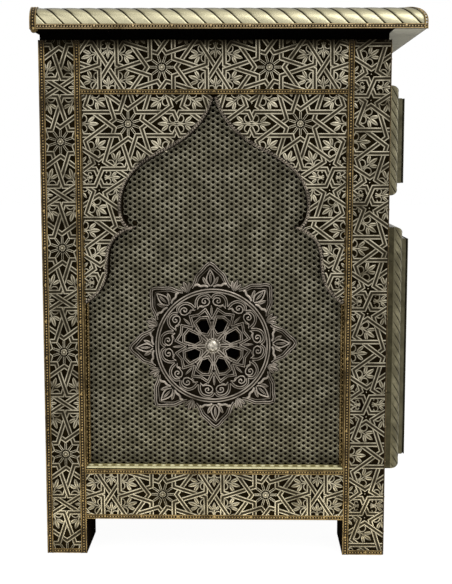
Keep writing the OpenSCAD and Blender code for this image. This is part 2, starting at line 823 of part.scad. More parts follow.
// Door
module door_board() {
    color("#7a7652") difference() {
        block(-lap_half, lap_half, y_door, y_front - door_gap, z_leaf0, z_leaf1);
        through_screw_hole(x_door_knob, z_door_mid, y_door, y_front - door_gap);
    }
}

module door_moulding() {
    color("#76714a") translate([0, y_door, z_door_mid]) rotate([90, 0, 0])
        mould_frame(2 * lap_half, z_leaf1 - z_leaf0);
}

module door_field() {
    color("#6b6b4a") translate([0, y_door, z_door_mid]) rotate([90, 0, 0])
        field_block(2 * lap_half, z_leaf1 - z_leaf0, x_door_knob);
}

module door_knob() {
    color("#b08d45") translate([x_door_knob, y_door - field_t, z_door_mid]) rotate([90, 0, 0]) knob();
}

module door_knob_screw() {
    color("#b9b6aa") translate([x_door_knob, y_front - door_gap, z_door_mid]) rotate([90, 0, 0])
        knob_screw(door_t + field_t + screw_bite);
}

// Hinges, as [lowest z] of each
function hinge_starts() = [z_leaf0 + hinge_end, z_leaf1 - hinge_end - hinge_l];

// One knuckle from z0 to z1, with a hole for the pin
module knuckle(z0, z1, hole_r) {
    translate([x_hinge, y_hinge, z0]) difference() {
        cylinder(r = knuckle_r, h = z1 - z0);
        translate([0, 0, -1]) cylinder(r = hole_r, h = z1 - z0 + 2);
    }
}

module post_hinge_leaves() {
    color("#a8873f") for (z = hinge_starts()) {
        reach = x_hinge - knuckle_r - leaf_play;
        block(x_hinge - leaf_w, reach, y_front - leaf_t, y_front, z, z + hinge_l);
        for (z0 = [z, z + 2 * knuckle_l]) difference() {
            union() {
                block(reach - 1, x_hinge, y_front - leaf_t, y_front, z0, z0 + knuckle_l);
                knuckle(z0, z0 + knuckle_l, pin_r);
            }
            translate([x_hinge, y_hinge, z0 - 1]) cylinder(r = pin_r, h = knuckle_l + 2);
        }
    }
}

module door_hinge_leaves() {
    reach = y_hinge - knuckle_r - leaf_play;
    color("#a8873f") for (z = hinge_starts()) difference() {
        union() {
            block(-lap_half - leaf_t, -lap_half, y_door + 1, reach, z, z + hinge_l);
            block(-lap_half - leaf_t, -lap_half, reach - 1, y_hinge,
                z + knuckle_l + leaf_play, z + 2 * knuckle_l - leaf_play);
            knuckle(z + knuckle_l + leaf_play, z + 2 * knuckle_l - leaf_play, pin_r + pin_play);
        }
        translate([x_hinge, y_hinge, z - 1]) cylinder(r = pin_r + pin_play, h = hinge_l + 2);
    }
}

module hinge_pins() {
    color("#c2a55a") for (z = hinge_starts()) translate([x_hinge, y_hinge, z - 1])
        rotate_extrude() polygon([[0, 0], [knuckle_r - 1, 0], [knuckle_r - 0.4, 0.9], [pin_r, 0.9],
            [pin_r, hinge_l + 1], [0, hinge_l + 1]]);
}

// Magnetic catch under the middle rail, and its strike plate on the door
x_catch = x_bay - 6 - catch_l;
module door_catch() {
    color("#d8d2c0") difference() {
        block(x_catch, x_catch + catch_l, y_front + 0.3, y_rail1 - 2, z_door1 - catch_h, z_door1);
        for (x = [0.2, 0.8]) translate([x_catch + x * catch_l, y_front + rail_t / 2, z_door1 - catch_h - 1])
            cylinder(r = 1.6, h = 5);
    }
}

module door_strike() {
    color("#b9b6aa") difference() {
        block(x_catch + 4, x_catch + catch_l - 4, y_front - door_gap, y_front,
            z_door1 - catch_h, z_door1 - 1);
        translate([x_catch + catch_l / 2, y_front - door_gap - 1, z_door1 - catch_h / 2 - 0.5])
            rotate([-90, 0, 0]) cylinder(r = 1.5, h = door_gap + 2);
    }
}

front_post("left");  // front_left_post
front_post("right");  // front_right_post
rear_post("left");  // rear_left_post
rear_post("right");  // rear_right_post
side_rail("left", z_arch, z_frame);  // left_top_rail
side_rail("right", z_arch, z_frame);  // right_top_rail
side_rail("left", foot_h, z_panel);  // left_apron
side_rail("right", foot_h, z_panel);  // right_apron
cross_rail(z_bay1, z_frame, y_rail0, y_rail1);  // front_top_rail
cross_rail(z_door1, z_bay0, y_rail0, y_rail1);  // front_middle_rail
cross_rail(foot_h, z_door0, y_rail0, y_rail1);  // front_bottom_rail
back_rails();
side_board("left");  // left_side_board
side_board("right");  // right_side_board
inner_board("left");  // left_inner_board
inner_board("right");  // right_inner_board
bottom_board();
divider_board();
back_panel();
neck_board();
top_board();
top_sheet();
top_front_moulding();
top_side_moulding("left");  // top_left_moulding
top_side_moulding("right");  // top_right_moulding
top_strips();
punched_sheet("left");  // left_punched_sheet
punched_sheet("right");  // right_punched_sheet
spandrel("left", "front");  // left_front_spandrel
spandrel("left", "rear");  // left_rear_spandrel
spandrel("right", "front");  // right_front_spandrel
spandrel("right", "rear");  // right_rear_spandrel
medallion("left");  // left_medallion
medallion("right");  // right_medallion
side_frame_sheets("left");  // left_frame_sheets
side_frame_sheets("right");  // right_frame_sheets
front_frame_sheets();
side_strips("left");  // left_strips
side_strips("right");  // right_strips
front_strips();
drawer_runners();
drawer_kickers();
door_catch();
post_hinge_leaves();
hinge_pins();
drawer_front();
drawer_moulding();
drawer_field();
drawer_sides();
drawer_back();
drawer_bottom();
drawer_knob();
drawer_knob_screw();
door_board();
door_moulding();
door_field();
door_hinge_leaves();
door_knob();
door_knob_screw();
door_strike();
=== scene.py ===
"""Looks of the metal-clad nightstand: strapwork, punched panels, medallions and mouldings over the CAD frame.

Lengths are in millimetres in the row frame until a mesh is made. Raised work is gathered as
(along, across, out) points on a flat face and then placed on that face. A face is a pair: the function that
maps such points to the row frame, and whether that turns the surface inside out.
"""

import math

import bmesh
import bpy
import numpy as np
from mathutils import Matrix, Vector


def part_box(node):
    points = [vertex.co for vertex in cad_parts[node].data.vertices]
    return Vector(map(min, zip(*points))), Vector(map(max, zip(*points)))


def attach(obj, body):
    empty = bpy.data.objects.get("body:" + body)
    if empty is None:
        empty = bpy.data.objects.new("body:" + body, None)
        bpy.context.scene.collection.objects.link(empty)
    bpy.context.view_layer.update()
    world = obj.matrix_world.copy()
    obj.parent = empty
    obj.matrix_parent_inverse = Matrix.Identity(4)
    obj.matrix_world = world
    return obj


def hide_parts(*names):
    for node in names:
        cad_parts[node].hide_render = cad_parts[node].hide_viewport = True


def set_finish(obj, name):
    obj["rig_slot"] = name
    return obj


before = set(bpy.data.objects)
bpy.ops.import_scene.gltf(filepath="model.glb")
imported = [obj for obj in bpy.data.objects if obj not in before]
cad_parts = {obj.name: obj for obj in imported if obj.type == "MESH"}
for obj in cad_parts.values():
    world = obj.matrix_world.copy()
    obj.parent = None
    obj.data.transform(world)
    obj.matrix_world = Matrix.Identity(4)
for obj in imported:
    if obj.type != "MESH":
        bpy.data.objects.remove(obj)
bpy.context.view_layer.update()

MM = 0.001
BOX = {n: tuple(np.array(v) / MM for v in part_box(n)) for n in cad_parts}
SIDES = {"left": -1, "right": 1}

# Sizes of the cladding
SHEET_T = 1.2
STRIP, STRIP_NARROW = 7, 5.5
BEAD_PITCH = 3.1
HINGE_L = 50
DOOR_GAP = 1

# Places read from the frame
Y_FRONT, Y_BACK = (v[1] for v in BOX["left_frame_sheets"])
Y_MID = (Y_FRONT + Y_BACK) / 2
X_FACE = -BOX["front_left_post"][0][0] + SHEET_T
X_SPANDREL = -BOX["left_front_spandrel"][0][0]
X_PANEL = -BOX["left_medallion"][1][0]
POST_0, POST_1 = (v[1] for v in BOX["left_punched_sheet"])
Z_PANEL, Z_ARCH = (v[2] for v in BOX["left_punched_sheet"])
Z_FRAME = BOX["left_frame_sheets"][1][2]
Z_APRON = BOX["left_apron"][0][2]
Z_ROSETTE = Z_ARCH - 50.5
Z_NECK, Z_TOP = BOX["top_board"][0][2], BOX["top_sheet"][1][2]
X_TOP = -BOX["top_left_moulding"][0][0]
Y_TOP, Y_TOP_BACK = BOX["top_front_moulding"][0][1], BOX["top_board"][1][1]
X_BAY, LAP = -BOX["front_left_post"][1][0], BOX["door_board"][1][0]
FRONT_RAILS = [(Z_APRON, BOX["door_board"][0][2] - DOOR_GAP),
               (BOX["door_board"][1][2] + DOOR_GAP, BOX["drawer_front"][0][2] - DOOR_GAP),
               (BOX["drawer_front"][1][2] + DOOR_GAP, Z_FRAME)]
HINGE_LEAF = BOX["post_hinge_leaves"]
HINGES = [(z, z + HINGE_L) for z in (HINGE_LEAF[0][2], HINGE_LEAF[1][2] - HINGE_L)]


def put(name, data):
    obj = bpy.data.objects.new(name, data)
    bpy.context.scene.collection.objects.link(obj)
    return obj


# Materials


def feed(tree, node, inputs):
    """Sets a node's inputs, by name or number, to values or to other nodes' outputs."""
    for key, value in inputs.items():
        if isinstance(value, bpy.types.NodeSocket):
            tree.links.new(value, node.inputs[key])
        else:
            node.inputs[key].default_value = value


def add_node(tree, kind, inputs=None, **settings):
    """The outputs of a new shader node."""
    node = tree.nodes.new("ShaderNode" + kind)
    for key, value in settings.items():
        setattr(node, key, value)
    feed(tree, node, inputs or {})
    return node.outputs


def principled(name, roughness=0.5, metallic=0.0, shine=0.5):
    mat = bpy.data.materials.new(name)
    mat.use_nodes = True
    tree = mat.node_tree
    shader = tree.nodes["Principled BSDF"]
    feed(tree, shader, {"Roughness": roughness, "Metallic": metallic, "Specular IOR Level": shine})
    return mat, tree, shader


def noise(tree, scale, detail=4.0, roughness=0.55, stretch=(1, 1, 1)):
    """Noise in the piece's own space, scale in features per metre."""
    place = add_node(tree, "TexCoord")["Object"]
    place = add_node(tree, "Mapping", {"Vector": place, "Scale": stretch})["Vector"]
    look = {"Vector": place, "Scale": scale, "Detail": detail, "Roughness": roughness}
    return add_node(tree, "TexNoise", look)["Fac"]


def ramp(tree, fac, stops):
    """A colour for each place on fac; a single number stands for a grey."""
    node = tree.nodes.new("ShaderNodeValToRGB")
    elements = node.color_ramp.elements
    while len(elements) < len(stops):
        elements.new(0.5)
    for element, (position, colour) in zip(elements, stops):
        element.position = position
        element.color = (*(colour if isinstance(colour, tuple) else (colour,) * 3), 1)
    feed(tree, node, {"Fac": fac})
    return node.outputs["Color"]


def maths(tree, op, a, b):
    return add_node(tree, "Math", {0: a, 1: b}, operation=op)[0]


def bump(tree, height, distance, strength):
    return add_node(tree, "Bump", {"Height": height, "Distance": distance, "Strength": strength})["Normal"]


def scratches(tree, shader, fine, roughness, spread, depth, strength):
    """Fine scratches, in the roughness and in the surface."""
    rough = ramp(tree, fine, [(0.3, roughness - spread), (0.7, roughness + 0.12)])
    feed(tree, shader, {"Roughness": rough, "Normal": bump(tree, fine, depth, strength)})


def pressed(name, low, mid, high, roughness=0.38, metallic=0.85, patina=1.5):
    """Pressed metal: black in the hollows, bright on the ridges, after each point's wear value; that value
    holds wear and also painted highlights and painted shade.
    """
    mat, tree, shader = principled(name, roughness, metallic, 0.15)
    wear = add_node(tree, "Attribute", attribute_name="wear")["Fac"]
    uneven = maths(tree, "MULTIPLY", maths(tree, "SUBTRACT", noise(tree, 55, 6, 0.65), 0.5), patina)
    worn_and_lit = maths(tree, "MULTIPLY", wear, maths(tree, "ADD", uneven, 0.9))
    feed(tree, shader, {"Base Color": ramp(tree, worn_and_lit, [(0.05, low), (0.5, mid), (0.95, high)])})
    scratches(tree, shader, noise(tree, 900, 3), roughness, 0.08, 0.0001, 0.4)
    return mat


def plain_metal(name, dark, light, roughness=0.4, metallic=0.85, scale=60, shine=0.15):
    """Hand-worked sheet with darker patches and fine scratches."""
    mat, tree, shader = principled(name, roughness, metallic, shine)
    feed(tree, shader, {"Base Color": ramp(tree, noise(tree, scale, 6, 0.6), [(0.32, dark), (0.68, light)])})
    scratches(tree, shader, noise(tree, 700, 3, 0.6), roughness, 0.1, 0.00012, 0.5)
    return mat


def wood(name, dark, light, grain, roughness=0.6, shine=0.08):
    """Wood grain that runs along the axis with the smallest stretch."""
    mat, tree, shader = principled(name, roughness, shine=shine)
    pores = noise(tree, 160, 4, 0.7, grain)
    rings = ramp(tree, noise(tree, 22, 6, 0.6, grain), [(0.3, dark), (0.7, light)])
    streaks = ramp(tree, pores, [(0.35, dark), (0.6, light)])
    mixed = add_node(tree, "Mix", {0: 0.35, 6: rings, 7: streaks}, data_type="RGBA", blend_type="MULTIPLY")[2]
    feed(tree, shader, {"Base Color": mixed, "Normal": bump(tree, pores, 0.0003, 0.4)})
    return mat


def plastic(name, dark, light):
    mat, tree, shader = principled(name, 0.45)
    feed(tree, shader, {"Base Color": ramp(tree, noise(tree, 400), [(0.3, dark), (0.7, light)])})
    return mat


UPRIGHT, INWARD, ACROSS = (14, 14, 1), (14, 1, 14), (1, 14, 14)
SHEET = pressed("embossed_sheet", (0.006, 0.004, 0.0016), (0.086, 0.073, 0.046), (0.49, 0.445, 0.33), 0.42)
TOP_SHEET = pressed("top_sheet_metal", (0.03, 0.027, 0.018), (0.22, 0.205, 0.145), (0.56, 0.53, 0.4), 0.36)
GROUND = plain_metal("sheet_ground", (0.005, 0.0034, 0.0014), (0.013, 0.009, 0.0036), 0.9, 0.0, shine=0.0)
PUNCHED = pressed("punched_sheet", (0.0022, 0.0014, 0.0002), (0.104, 0.094, 0.062), (0.41, 0.385, 0.29),
                  0.45)
# The ledge is the punched sheet bent out: a lighter, non-metallic copy of its colours, painted light from
# above.
LIT_LEDGE = pressed("ledge_metal_painted_light", (0.03, 0.025, 0.01), (0.5, 0.43, 0.19), (0.98, 0.93, 0.6), 0.5, 0.0, 0.5)
MEDAL = pressed("medallion_metal", (0.008, 0.006, 0.003), (0.058, 0.048, 0.035), (0.35, 0.307, 0.255), 0.36)
# A brighter copy of the medallion metal for the boss: partly the boss's polish, partly a painted highlight.
POLISHED_LIT_BOSS = plain_metal("boss_metal_polish_and_highlight", (0.1, 0.09, 0.07), (0.6, 0.55, 0.46), 0.3, 0.9, 420)
MEDAL_GROUND = plain_metal("medallion_ground", (0.005, 0.0036, 0.0017), (0.012, 0.0088, 0.0046), 0.7, 0.0,
                           shine=0.02)
BRASS = pressed("strip_brass", (0.004, 0.0026, 0.0013), (0.088, 0.06, 0.024), (0.33, 0.235, 0.1), 0.4,
                patina=2.0)
TOP_BRASS = pressed("top_strip_brass", (0.012, 0.008, 0.004), (0.16, 0.115, 0.056), (0.4, 0.3, 0.16), 0.4,
                    patina=1.6)
BRASS_GROUND = plain_metal("strip_ground", (0.008, 0.0053, 0.0025), (0.034, 0.023, 0.01), 0.6, 0.3)
EDGE = pressed("edge_metal", (0.008, 0.006, 0.003), (0.17, 0.155, 0.095), (0.52, 0.48, 0.32), 0.34,
               patina=0.3)
MOULD = pressed("moulding_metal", (0.006, 0.005, 0.003), (0.125, 0.112, 0.068), (0.36, 0.33, 0.21), 0.36)
FIELD = pressed("field_metal", (0.004, 0.0035, 0.002), (0.085, 0.078, 0.046), (0.32, 0.3, 0.19), 0.38)
EDGE_GROUND = plain_metal("edge_ground", (0.12, 0.108, 0.066), (0.27, 0.245, 0.155), 0.4)
FIELD_SIDE = plain_metal("field_side_metal", (0.05, 0.045, 0.026), (0.13, 0.118, 0.072), 0.42)
SIDE_METAL = plain_metal("front_side_metal", (0.028, 0.024, 0.013), (0.075, 0.066, 0.036), 0.42)
TRIM = pressed("arch_trim_metal", (0.003, 0.0023, 0.0017), (0.055, 0.045, 0.034), (0.42, 0.36, 0.28), 0.4)
KNOB = plain_metal("knob_brass", (0.32, 0.22, 0.08), (0.62, 0.46, 0.2), 0.25, 1.0, 40)
HINGE = plain_metal("hinge_brass", (0.03, 0.025, 0.013), (0.085, 0.074, 0.04), 0.4, 0.8, 50)
STEEL = plain_metal("screw_steel", (0.3, 0.3, 0.3), (0.5, 0.5, 0.49), 0.35, 1.0, 90)
CARCASS = wood("carcass_wood", (0.05, 0.03, 0.016), (0.14, 0.085, 0.045), UPRIGHT)
# near-black post wood: painted shade on the legs' inner faces under the cabinet
SHADE_DARK_POST_WOOD = wood("post_wood", (0.006, 0.0045, 0.003), (0.018, 0.013, 0.008), UPRIGHT, 1.0, 0.0)
INNER = wood("inner_wood", (0.2, 0.115, 0.055), (0.36, 0.22, 0.115), UPRIGHT)
FLOOR_WOOD = wood("floor_board_wood", (0.2, 0.115, 0.055), (0.36, 0.22, 0.115), ACROSS)
DRAWER_WOOD = wood("drawer_wood", (0.26, 0.16, 0.08), (0.45, 0.29, 0.16), INWARD)
# Near-black wood that stands for shade: the neck under the top and the undersides of the side overhangs are
# painted shade.
SHADE_BLACK_WOOD = wood("dark_wood", (0.0012, 0.001, 0.0008), (0.003, 0.0024, 0.002), ACROSS, 1.0, 0.0)
UNDERSIDE = wood("underside_wood", (0.36, 0.35, 0.29), (0.66, 0.64, 0.55), INWARD, 0.9)
PLASTIC = plastic("catch_plastic", (0.02, 0.02, 0.02), (0.05, 0.05, 0.05))


# Raised work


class Relief:
    """Points (along, across, out) with a value each for wear and painted light, and faces between them."""

    def __init__(self):
        self.points, self.wear, self.quads, self.tris, self.count = [], [], [], [], 0

    def add(self, points, wear, quads=None, tris=None):
        self.points.append(np.asarray(points, float).reshape(-1, 3))
        self.wear.append(np.asarray(wear, float).reshape(-1))
        if quads is not None:
            self.quads.append(np.asarray(quads).reshape(-1, 4) + self.count)
        if tris is not None:
            self.tris.append(np.asarray(tris).reshape(-1, 3) + self.count)
        self.count += len(self.points[-1])

    def grid(self, points, wear, closed=False):
        """Quads over an (n, m, 3) grid; closed joins the last row to the first."""
        n, m = points.shape[:2]
        rows = np.arange(n if closed else n - 1)[:, None]
        a = rows * m + np.arange(m - 1)
        b = ((rows + 1) % n) * m + np.arange(m - 1)
        self.add(points, np.broadcast_to(wear, (n, m)), np.stack([a, b, b + 1, a + 1], -1))

    def flat(self, a0, a1, b0, b1, out=0.0, wear=0.5):
        """A plain rectangle."""
        self.grid(np.array([[(a, b, out) for b in (b0, b1)] for a in (a0, a1)]), wear)

    def band(self, line, profile, lift=0.0, closed=False, step=None):
        """Sweeps a profile of (offset, height, wear and painted light) rows along a line in the face, mitred
        at its corners.
        A third column in the line is a lift of its own."""
        p = np.asarray(line, float)
        if step:
            p = subdivide(p, step, closed)
        rise = p[:, 2:] if p.shape[1] > 2 else 0.0
        p = p[:, :2]
        before = np.roll(p, 1, 0) if closed else np.vstack([2 * p[0] - p[1], p[:-1]])
        after = np.roll(p, -1, 0) if closed else np.vstack([p[1:], 2 * p[-1] - p[-2]])
        normal = turned(unit(p - before))
        mitre = unit(normal + turned(unit(after - p)))
        mitre = mitre / np.clip((mitre * normal).sum(1), 0.42, 1)[:, None]
        profile = np.asarray(profile, float)
        grid = np.empty((len(p), len(profile), 3))
        grid[..., :2] = p[:, None] + mitre[:, None] * profile[None, :, :1]
        grid[..., 2] = profile[:, 1] + lift + rise
        self.grid(grid, profile[:, 2], closed)

    def leaf(self, start, end, width, height=0.9, belly=0.42, crease=0.35, lift=0.0):
        """A domed leaf from start to end with a sunken middle line."""
        start, end = np.asarray(start, float), np.asarray(end, float)
        s = np.array([0.0, 0.12, 0.3, 0.5, 0.72, 0.9, 1.0])
        t = np.array([-1.0, -0.62, 0.0, 0.62, 1.0])
        shape = np.sin(np.pi * s ** (math.log(0.5) / math.log(belly))) ** 0.8
        spine = start + (end - start) * s[:, None]
        across = turned(unit(end - start)) * (t * width / 2)[:, None]
        grid = np.empty((len(s), len(t), 3))
        grid[..., :2] = spine[:, None] + across * shape[:, None, None]
        dome = np.array([0.0, 1.0, 1.0 - crease, 1.0, 0.0])
        grid[..., 2] = dome * height * np.maximum(shape, 0.12)[:, None] + lift
        self.grid(grid, (0.0, 1.0, 0.45, 1.0, 0.0))

    def rings(self, layers, top):
        """Rings of (points, height, wear and light) one inside the other, closed by a point (a, b, height,
        wear and light).
        """
        n = len(layers[0][0])
        last = n * (len(layers) - 1)
        k = np.arange(n)
        nxt = (k + 1) % n
        points = [np.column_stack([ring, np.broadcast_to(height, n)]) for ring, height, _ in layers]
        wear = [np.broadcast_to(value, n) for _, _, value in layers]
        quads = [np.stack([r + k, r + nxt, r + n + nxt, r + n + k], -1) for r in range(0, last, n)]
        tris = np.stack([last + k, last + nxt, np.full(n, last + n)], -1)
        points, wear = np.vstack(points + [[top[:3]]]), np.concatenate(wear + [[top[3]]])
        self.add(points, wear, np.concatenate(quads), tris)

    def dome(self, centre, radius, height, sides=10, lift=0.0, top_wear=1.0):
        """A round boss."""
        a = np.arange(sides) * 2 * np.pi / sides
        circle = np.stack([np.cos(a), np.sin(a)], -1)
        layers = [(centre + radius * r * circle, height * h + lift, w)
                  for r, h, w in ((1.0, 0.0, 0.1), (0.86, 0.5, 0.7), (0.5, 0.87, top_wear))]
        self.rings(layers, (*centre, height + lift, top_wear))

    def domes(self, centres, radius, height, sides=6, lift=0.0):
        for centre in centres:
            self.dome(centre, radius, height, sides, lift)

    def repeat(self, cell, places, tone=1.0):
        """Copies of another relief at several places, their wear-and-light values scaled by tone."""
        points, wear = np.vstack(cell.points), np.concatenate(cell.wear) * tone
        quads, tris = np.vstack(cell.quads), np.vstack(cell.tris)
        for place in places:
            self.add(points + place, wear, quads, tris)

    def keep(self, inside):
        """Drops faces whose middle isn't inside."""
        p = np.vstack(self.points)
        for name in ("quads", "tris"):
            faces = getattr(self, name)
            if faces:
                f = np.vstack(faces)
                setattr(self, name, [f[inside(p[f].mean(1)[:, :2])]])

    def mesh(self, name, on, rect):
        """The mesh of this relief, cut to a rectangle (a0, a1, b0, b1) and placed on a face."""
        place, flip = on
        p, w = np.vstack(self.points), np.concatenate(self.wear)
        q = np.vstack(self.quads + [np.zeros((0, 4), int)])
        t = np.vstack(self.tris + [np.zeros((0, 3), int)])
        if rect:
            a0, a1, b0, b1 = rect
            q, t = (f[(p[f, 0].max(1) >= a0) & (p[f, 0].min(1) <= a1)
                      & (p[f, 1].max(1) >= b0) & (p[f, 1].min(1) <= b1)] for f in (q, t))
        used = np.unique(np.concatenate([q.ravel(), t.ravel()]))
        remap = np.full(len(p), -1)
        remap[used] = np.arange(len(used))
        p, w, q, t = p[used], w[used], remap[q], remap[t]
        if flip:
            q, t = q[:, ::-1], t[:, ::-1]
        me = bpy.data.meshes.new(name)
        me.vertices.add(len(p))
        me.vertices.foreach_set("co", p.ravel())
        me.loops.add(q.size + t.size)
        me.loops.foreach_set("vertex_index", np.concatenate([q.ravel(), t.ravel()]))
        me.polygons.add(len(q) + len(t))
        starts = np.concatenate([np.arange(len(q)) * 4, q.size + np.arange(len(t)) * 3])
        me.polygons.foreach_set("loop_start", starts)
        me.update(calc_edges=True)
        me.attributes.new("wear", "FLOAT", "POINT").data.foreach_set("value", w)
        if rect:
            bm = bmesh.new()
            bm.from_mesh(me)
            for co, no in (((a0, 0, 0), (-1, 0, 0)), ((a1, 0, 0), (1, 0, 0)),
                           ((0, b0, 0), (0, -1, 0)), ((0, b1, 0), (0, 1, 0))):
                bmesh.ops.bisect_plane(bm, geom=bm.verts[:] + bm.edges[:] + bm.faces[:], dist=1e-4,
                                       plane_co=co, plane_no=no, clear_outer=True)
            bm.to_mesh(me)
            bm.free()
        co = np.empty(len(me.vertices) * 3)
        me.vertices.foreach_get("co", co)
        me.vertices.foreach_set("co", (place(co.reshape(-1, 3)) * MM).ravel())
        me.polygons.foreach_set("use_smooth", np.ones(len(me.polygons), bool))
        me.update()
        return me

    def piece(self, name, material, slot, on, body="cabinet", rect=None):
        obj = put(name, self.mesh(name, on, rect))
        obj.data.materials.append(material)
        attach(obj, body)
        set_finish(obj, slot)
        return obj

    def brass(self, name, on):
        self.piece(name, BRASS, "brass_strip", on)


def join(objs, name):
    """One object from several that share a material."""
    bm = bmesh.new()
    for obj in objs:
        bm.from_mesh(obj.data)
    me = objs[0].data
    bm.to_mesh(me)
    bm.free()
    for obj in objs[1:]:
        bpy.data.objects.remove(obj)
    objs[0].name = name
    me.name = name
    return objs[0]


# Lines in a face


def unit(v):
    return v / np.maximum(np.linalg.norm(v, axis=-1, keepdims=True), 1e-9)


def turned(v):
    """v turned a quarter turn to the left."""
    return np.stack([-v[..., 1], v[..., 0]], -1)


def distances(p):
    """How far each point lies along a line."""
    return np.concatenate([[0], np.cumsum(np.linalg.norm(np.diff(p, axis=0), axis=1))])


def subdivide(p, step, closed=False):
    ends = np.roll(p, -1, 0) if closed else p[1:]
    out = []
    for a, b in zip(p, ends):
        n = max(1, int(math.ceil(np.linalg.norm(b - a) / step)))
        out.append(a + (b - a) * (np.arange(n) / n)[:, None])
    if not closed:
        out.append(p[-1:])
    return np.vstack(out)


def evenly(line, pitch):
    """Points at even steps along a line, and the direction at each."""
    line = np.asarray(line, float)
    d = unit(np.diff(line, axis=0))
    total = distances(line)
    n = max(1, int(total[-1] / pitch))
    s = (np.arange(n) + 0.5) * total[-1] / n
    k = np.clip(np.searchsorted(total, s) - 1, 0, len(d) - 1)
    return line[k] + d[k] * (s - total[k])[:, None], d[k]


def smooth(line, n=5):
    """The line with its corners rounded."""
    p = np.asarray(line, float)
    p = np.vstack([2 * p[0] - p[1], p, 2 * p[-1] - p[-2]])
    t = (np.arange(n) / n)[:, None]
    out = []
    for a, b, c, d in zip(p, p[1:], p[2:], p[3:]):
        out.append(0.5 * (2 * b + (c - a) * t + (2 * a - 5 * b + 4 * c - d) * t ** 2
                          + (3 * b - a - 3 * c + d) * t ** 3))
    return np.vstack(out + [p[-2:-1]])


def cubic(p0, p1, p2, p3, n):
    t = (np.arange(1, n + 1) / n)[:, None]
    return p0 * (1 - t) ** 3 + 3 * p1 * t * (1 - t) ** 2 + 3 * p2 * t * t * (1 - t) + p3 * t ** 3


def span(s, a, b):
    """From a to b, on the side of the middle that s gives, as its lower and upper end."""
    return sorted((s * a, s * b))


def polar(r, degrees):
    a = math.radians(degrees)
    return np.array([r * math.cos(a), r * math.sin(a)])


def inside_polygon(polygon):
    """A test for (n, 2) points against a closed polygon."""
    a = np.asarray(polygon, float)
    b = np.roll(a, -1, 0)
    rise = np.where(a[:, 1] == b[:, 1], 1e-9, b[:, 1] - a[:, 1])

    def test(p):
        x, y = p[:, :1], p[:, 1:]
        within = (a[:, 1] > y) != (b[:, 1] > y)
        crosses = within & (x < (b[:, 0] - a[:, 0]) * (y - a[:, 1]) / rise + a[:, 0])
        return crosses.sum(1) % 2 == 1

    return test


# Faces that raised work lies on


def face(origin, along, across, out, inside_out=False):
    """A face from its origin and its three directions; inside_out turns its surface over."""
    axes = np.array([along, across, out], float)
    return lambda p: origin + p @ axes, (np.linalg.det(axes) < 0) != inside_out


def side_face(side, x):
    """A face of the left or right side at distance x from the middle; along is +Y and across is +Z."""
    s = SIDES[side]
    return face((s * x, 0, 0), (0, 1, 0), (0, 0, 1), (s, 0, 0))


def front_face(y, inside_out=False):
    """A face towards the front; along is +X and across is +Z."""
    return face((0, y, 0), (1, 0, 0), (0, 0, 1), (0, -1, 0), inside_out)


def top_face(z):
    """A face upwards; along is +X and across is +Y."""
    return face((0, 0, z), (1, 0, 0), (0, 1, 0), (0, 0, 1))


def edge_face(side, y, inside_out=False):
    """The top's side edge: along runs back from y, across inwards from the edge, and out upwards."""
    s = SIDES[side]
    return face((s * X_TOP, y, Z_NECK), (0, 1, 0), (-s, 0, 0), (0, 0, 1), inside_out)


# Strapwork: ten-armed rosettes on a rectangular net, with palmettes and small stars between

CELL_W, CELL_H = 105.2, 115.5
HEART = 15.45
STRAP = [(-3.0, 0, 0), (-2.7, 0.9, 0.1), (-2.1, 1.12, 1), (-1.65, 1.12, 0.9), (-1.1, 1.05, 0.4),
         (-0.32, 0.8, 0.12), (0.32, 0.8, 0.12), (1.1, 1.05, 0.4), (1.65, 1.12, 0.9), (2.1, 1.12, 1),
         (2.7, 0.9, 0.1), (3.0, 0, 0)]
RIB = np.array([(-0.95, 0, 0), (-0.5, 0.8, 0.9), (0, 0.9, 1), (0.5, 0.8, 0.9), (0.95, 0, 0)])


def mirrored(line):
    return [np.array(line) * (sx, sz) for sx in (1, -1) for sz in (1, -1)]


def strap_lines():
    """The straps of one cell round a rosette at the origin."""
    x, z = CELL_W / 2, CELL_H / 2
    upper = [(x + 2, 24.2), (32.3, 38.6), (0, HEART), (-32.3, 38.6), (-x - 2, 24.2)]
    middle = [(x + 0.6, 4.2), (x - 3.4, 12.6), polar(HEART, 54), (-2.7, 48.3), (-28.4, 48.6), (-32.3, z)]
    half = np.array([(0, z), (26.2, 40.8), polar(HEART, 18), (46.8, -18.8), (38.2, -42.4), (x + 7, -z)])
    crossed = np.vstack([half[:0:-1], (0, 2 * z) - half[1:]])
    bridge = [(x + 0.5, 48.6), (36.2, 48.6), (32.3, z)]
    pairs = [np.array(upper) * (1, s) for s in (1, -1)] + [crossed * (s, 1) for s in (1, -1)]
    return pairs + mirrored(middle) + mirrored(bridge)


def meetings(p, q):
    """Where two lines cross, as pairs of distances along them."""
    found = []
    lp, lq = distances(p), distances(q)
    for i, u in enumerate(np.diff(p, axis=0)):
        for j, v in enumerate(np.diff(q, axis=0)):
            w = q[j] - p[i]
            cross = u[0] * v[1] - u[1] * v[0]
            if abs(cross) > 1e-6:
                t, r = ((w[0] * d[1] - w[1] * d[0]) / cross for d in (v, u))
                if 0 < t < 1 and 0 < r < 1:
                    found.append((lp[i] + t * (lp[i + 1] - lp[i]), lq[j] + r * (lq[j + 1] - lq[j])))
    return found


def crossings(lines):
    """For each line, its crossings with the net as (distance, number of the crossing, which of the two)."""
    visits, count = [[] for _ in lines], 0
    near = [(i, j) for i in range(-2, 3) for j in range(-2, 3)]
    for a in range(len(lines)):
        for b in range(a, len(lines)):
            for i, j in near:
                if a < b or (i, j) > (0, 0):
                    for sa, sb in meetings(lines[a], lines[b] + (i * CELL_W, j * CELL_H)):
                        visits[a].append((sa, count, 0))
                        visits[b].append((sb, count, 1))
                        count += 1
    return [sorted(seen) for seen in visits], count


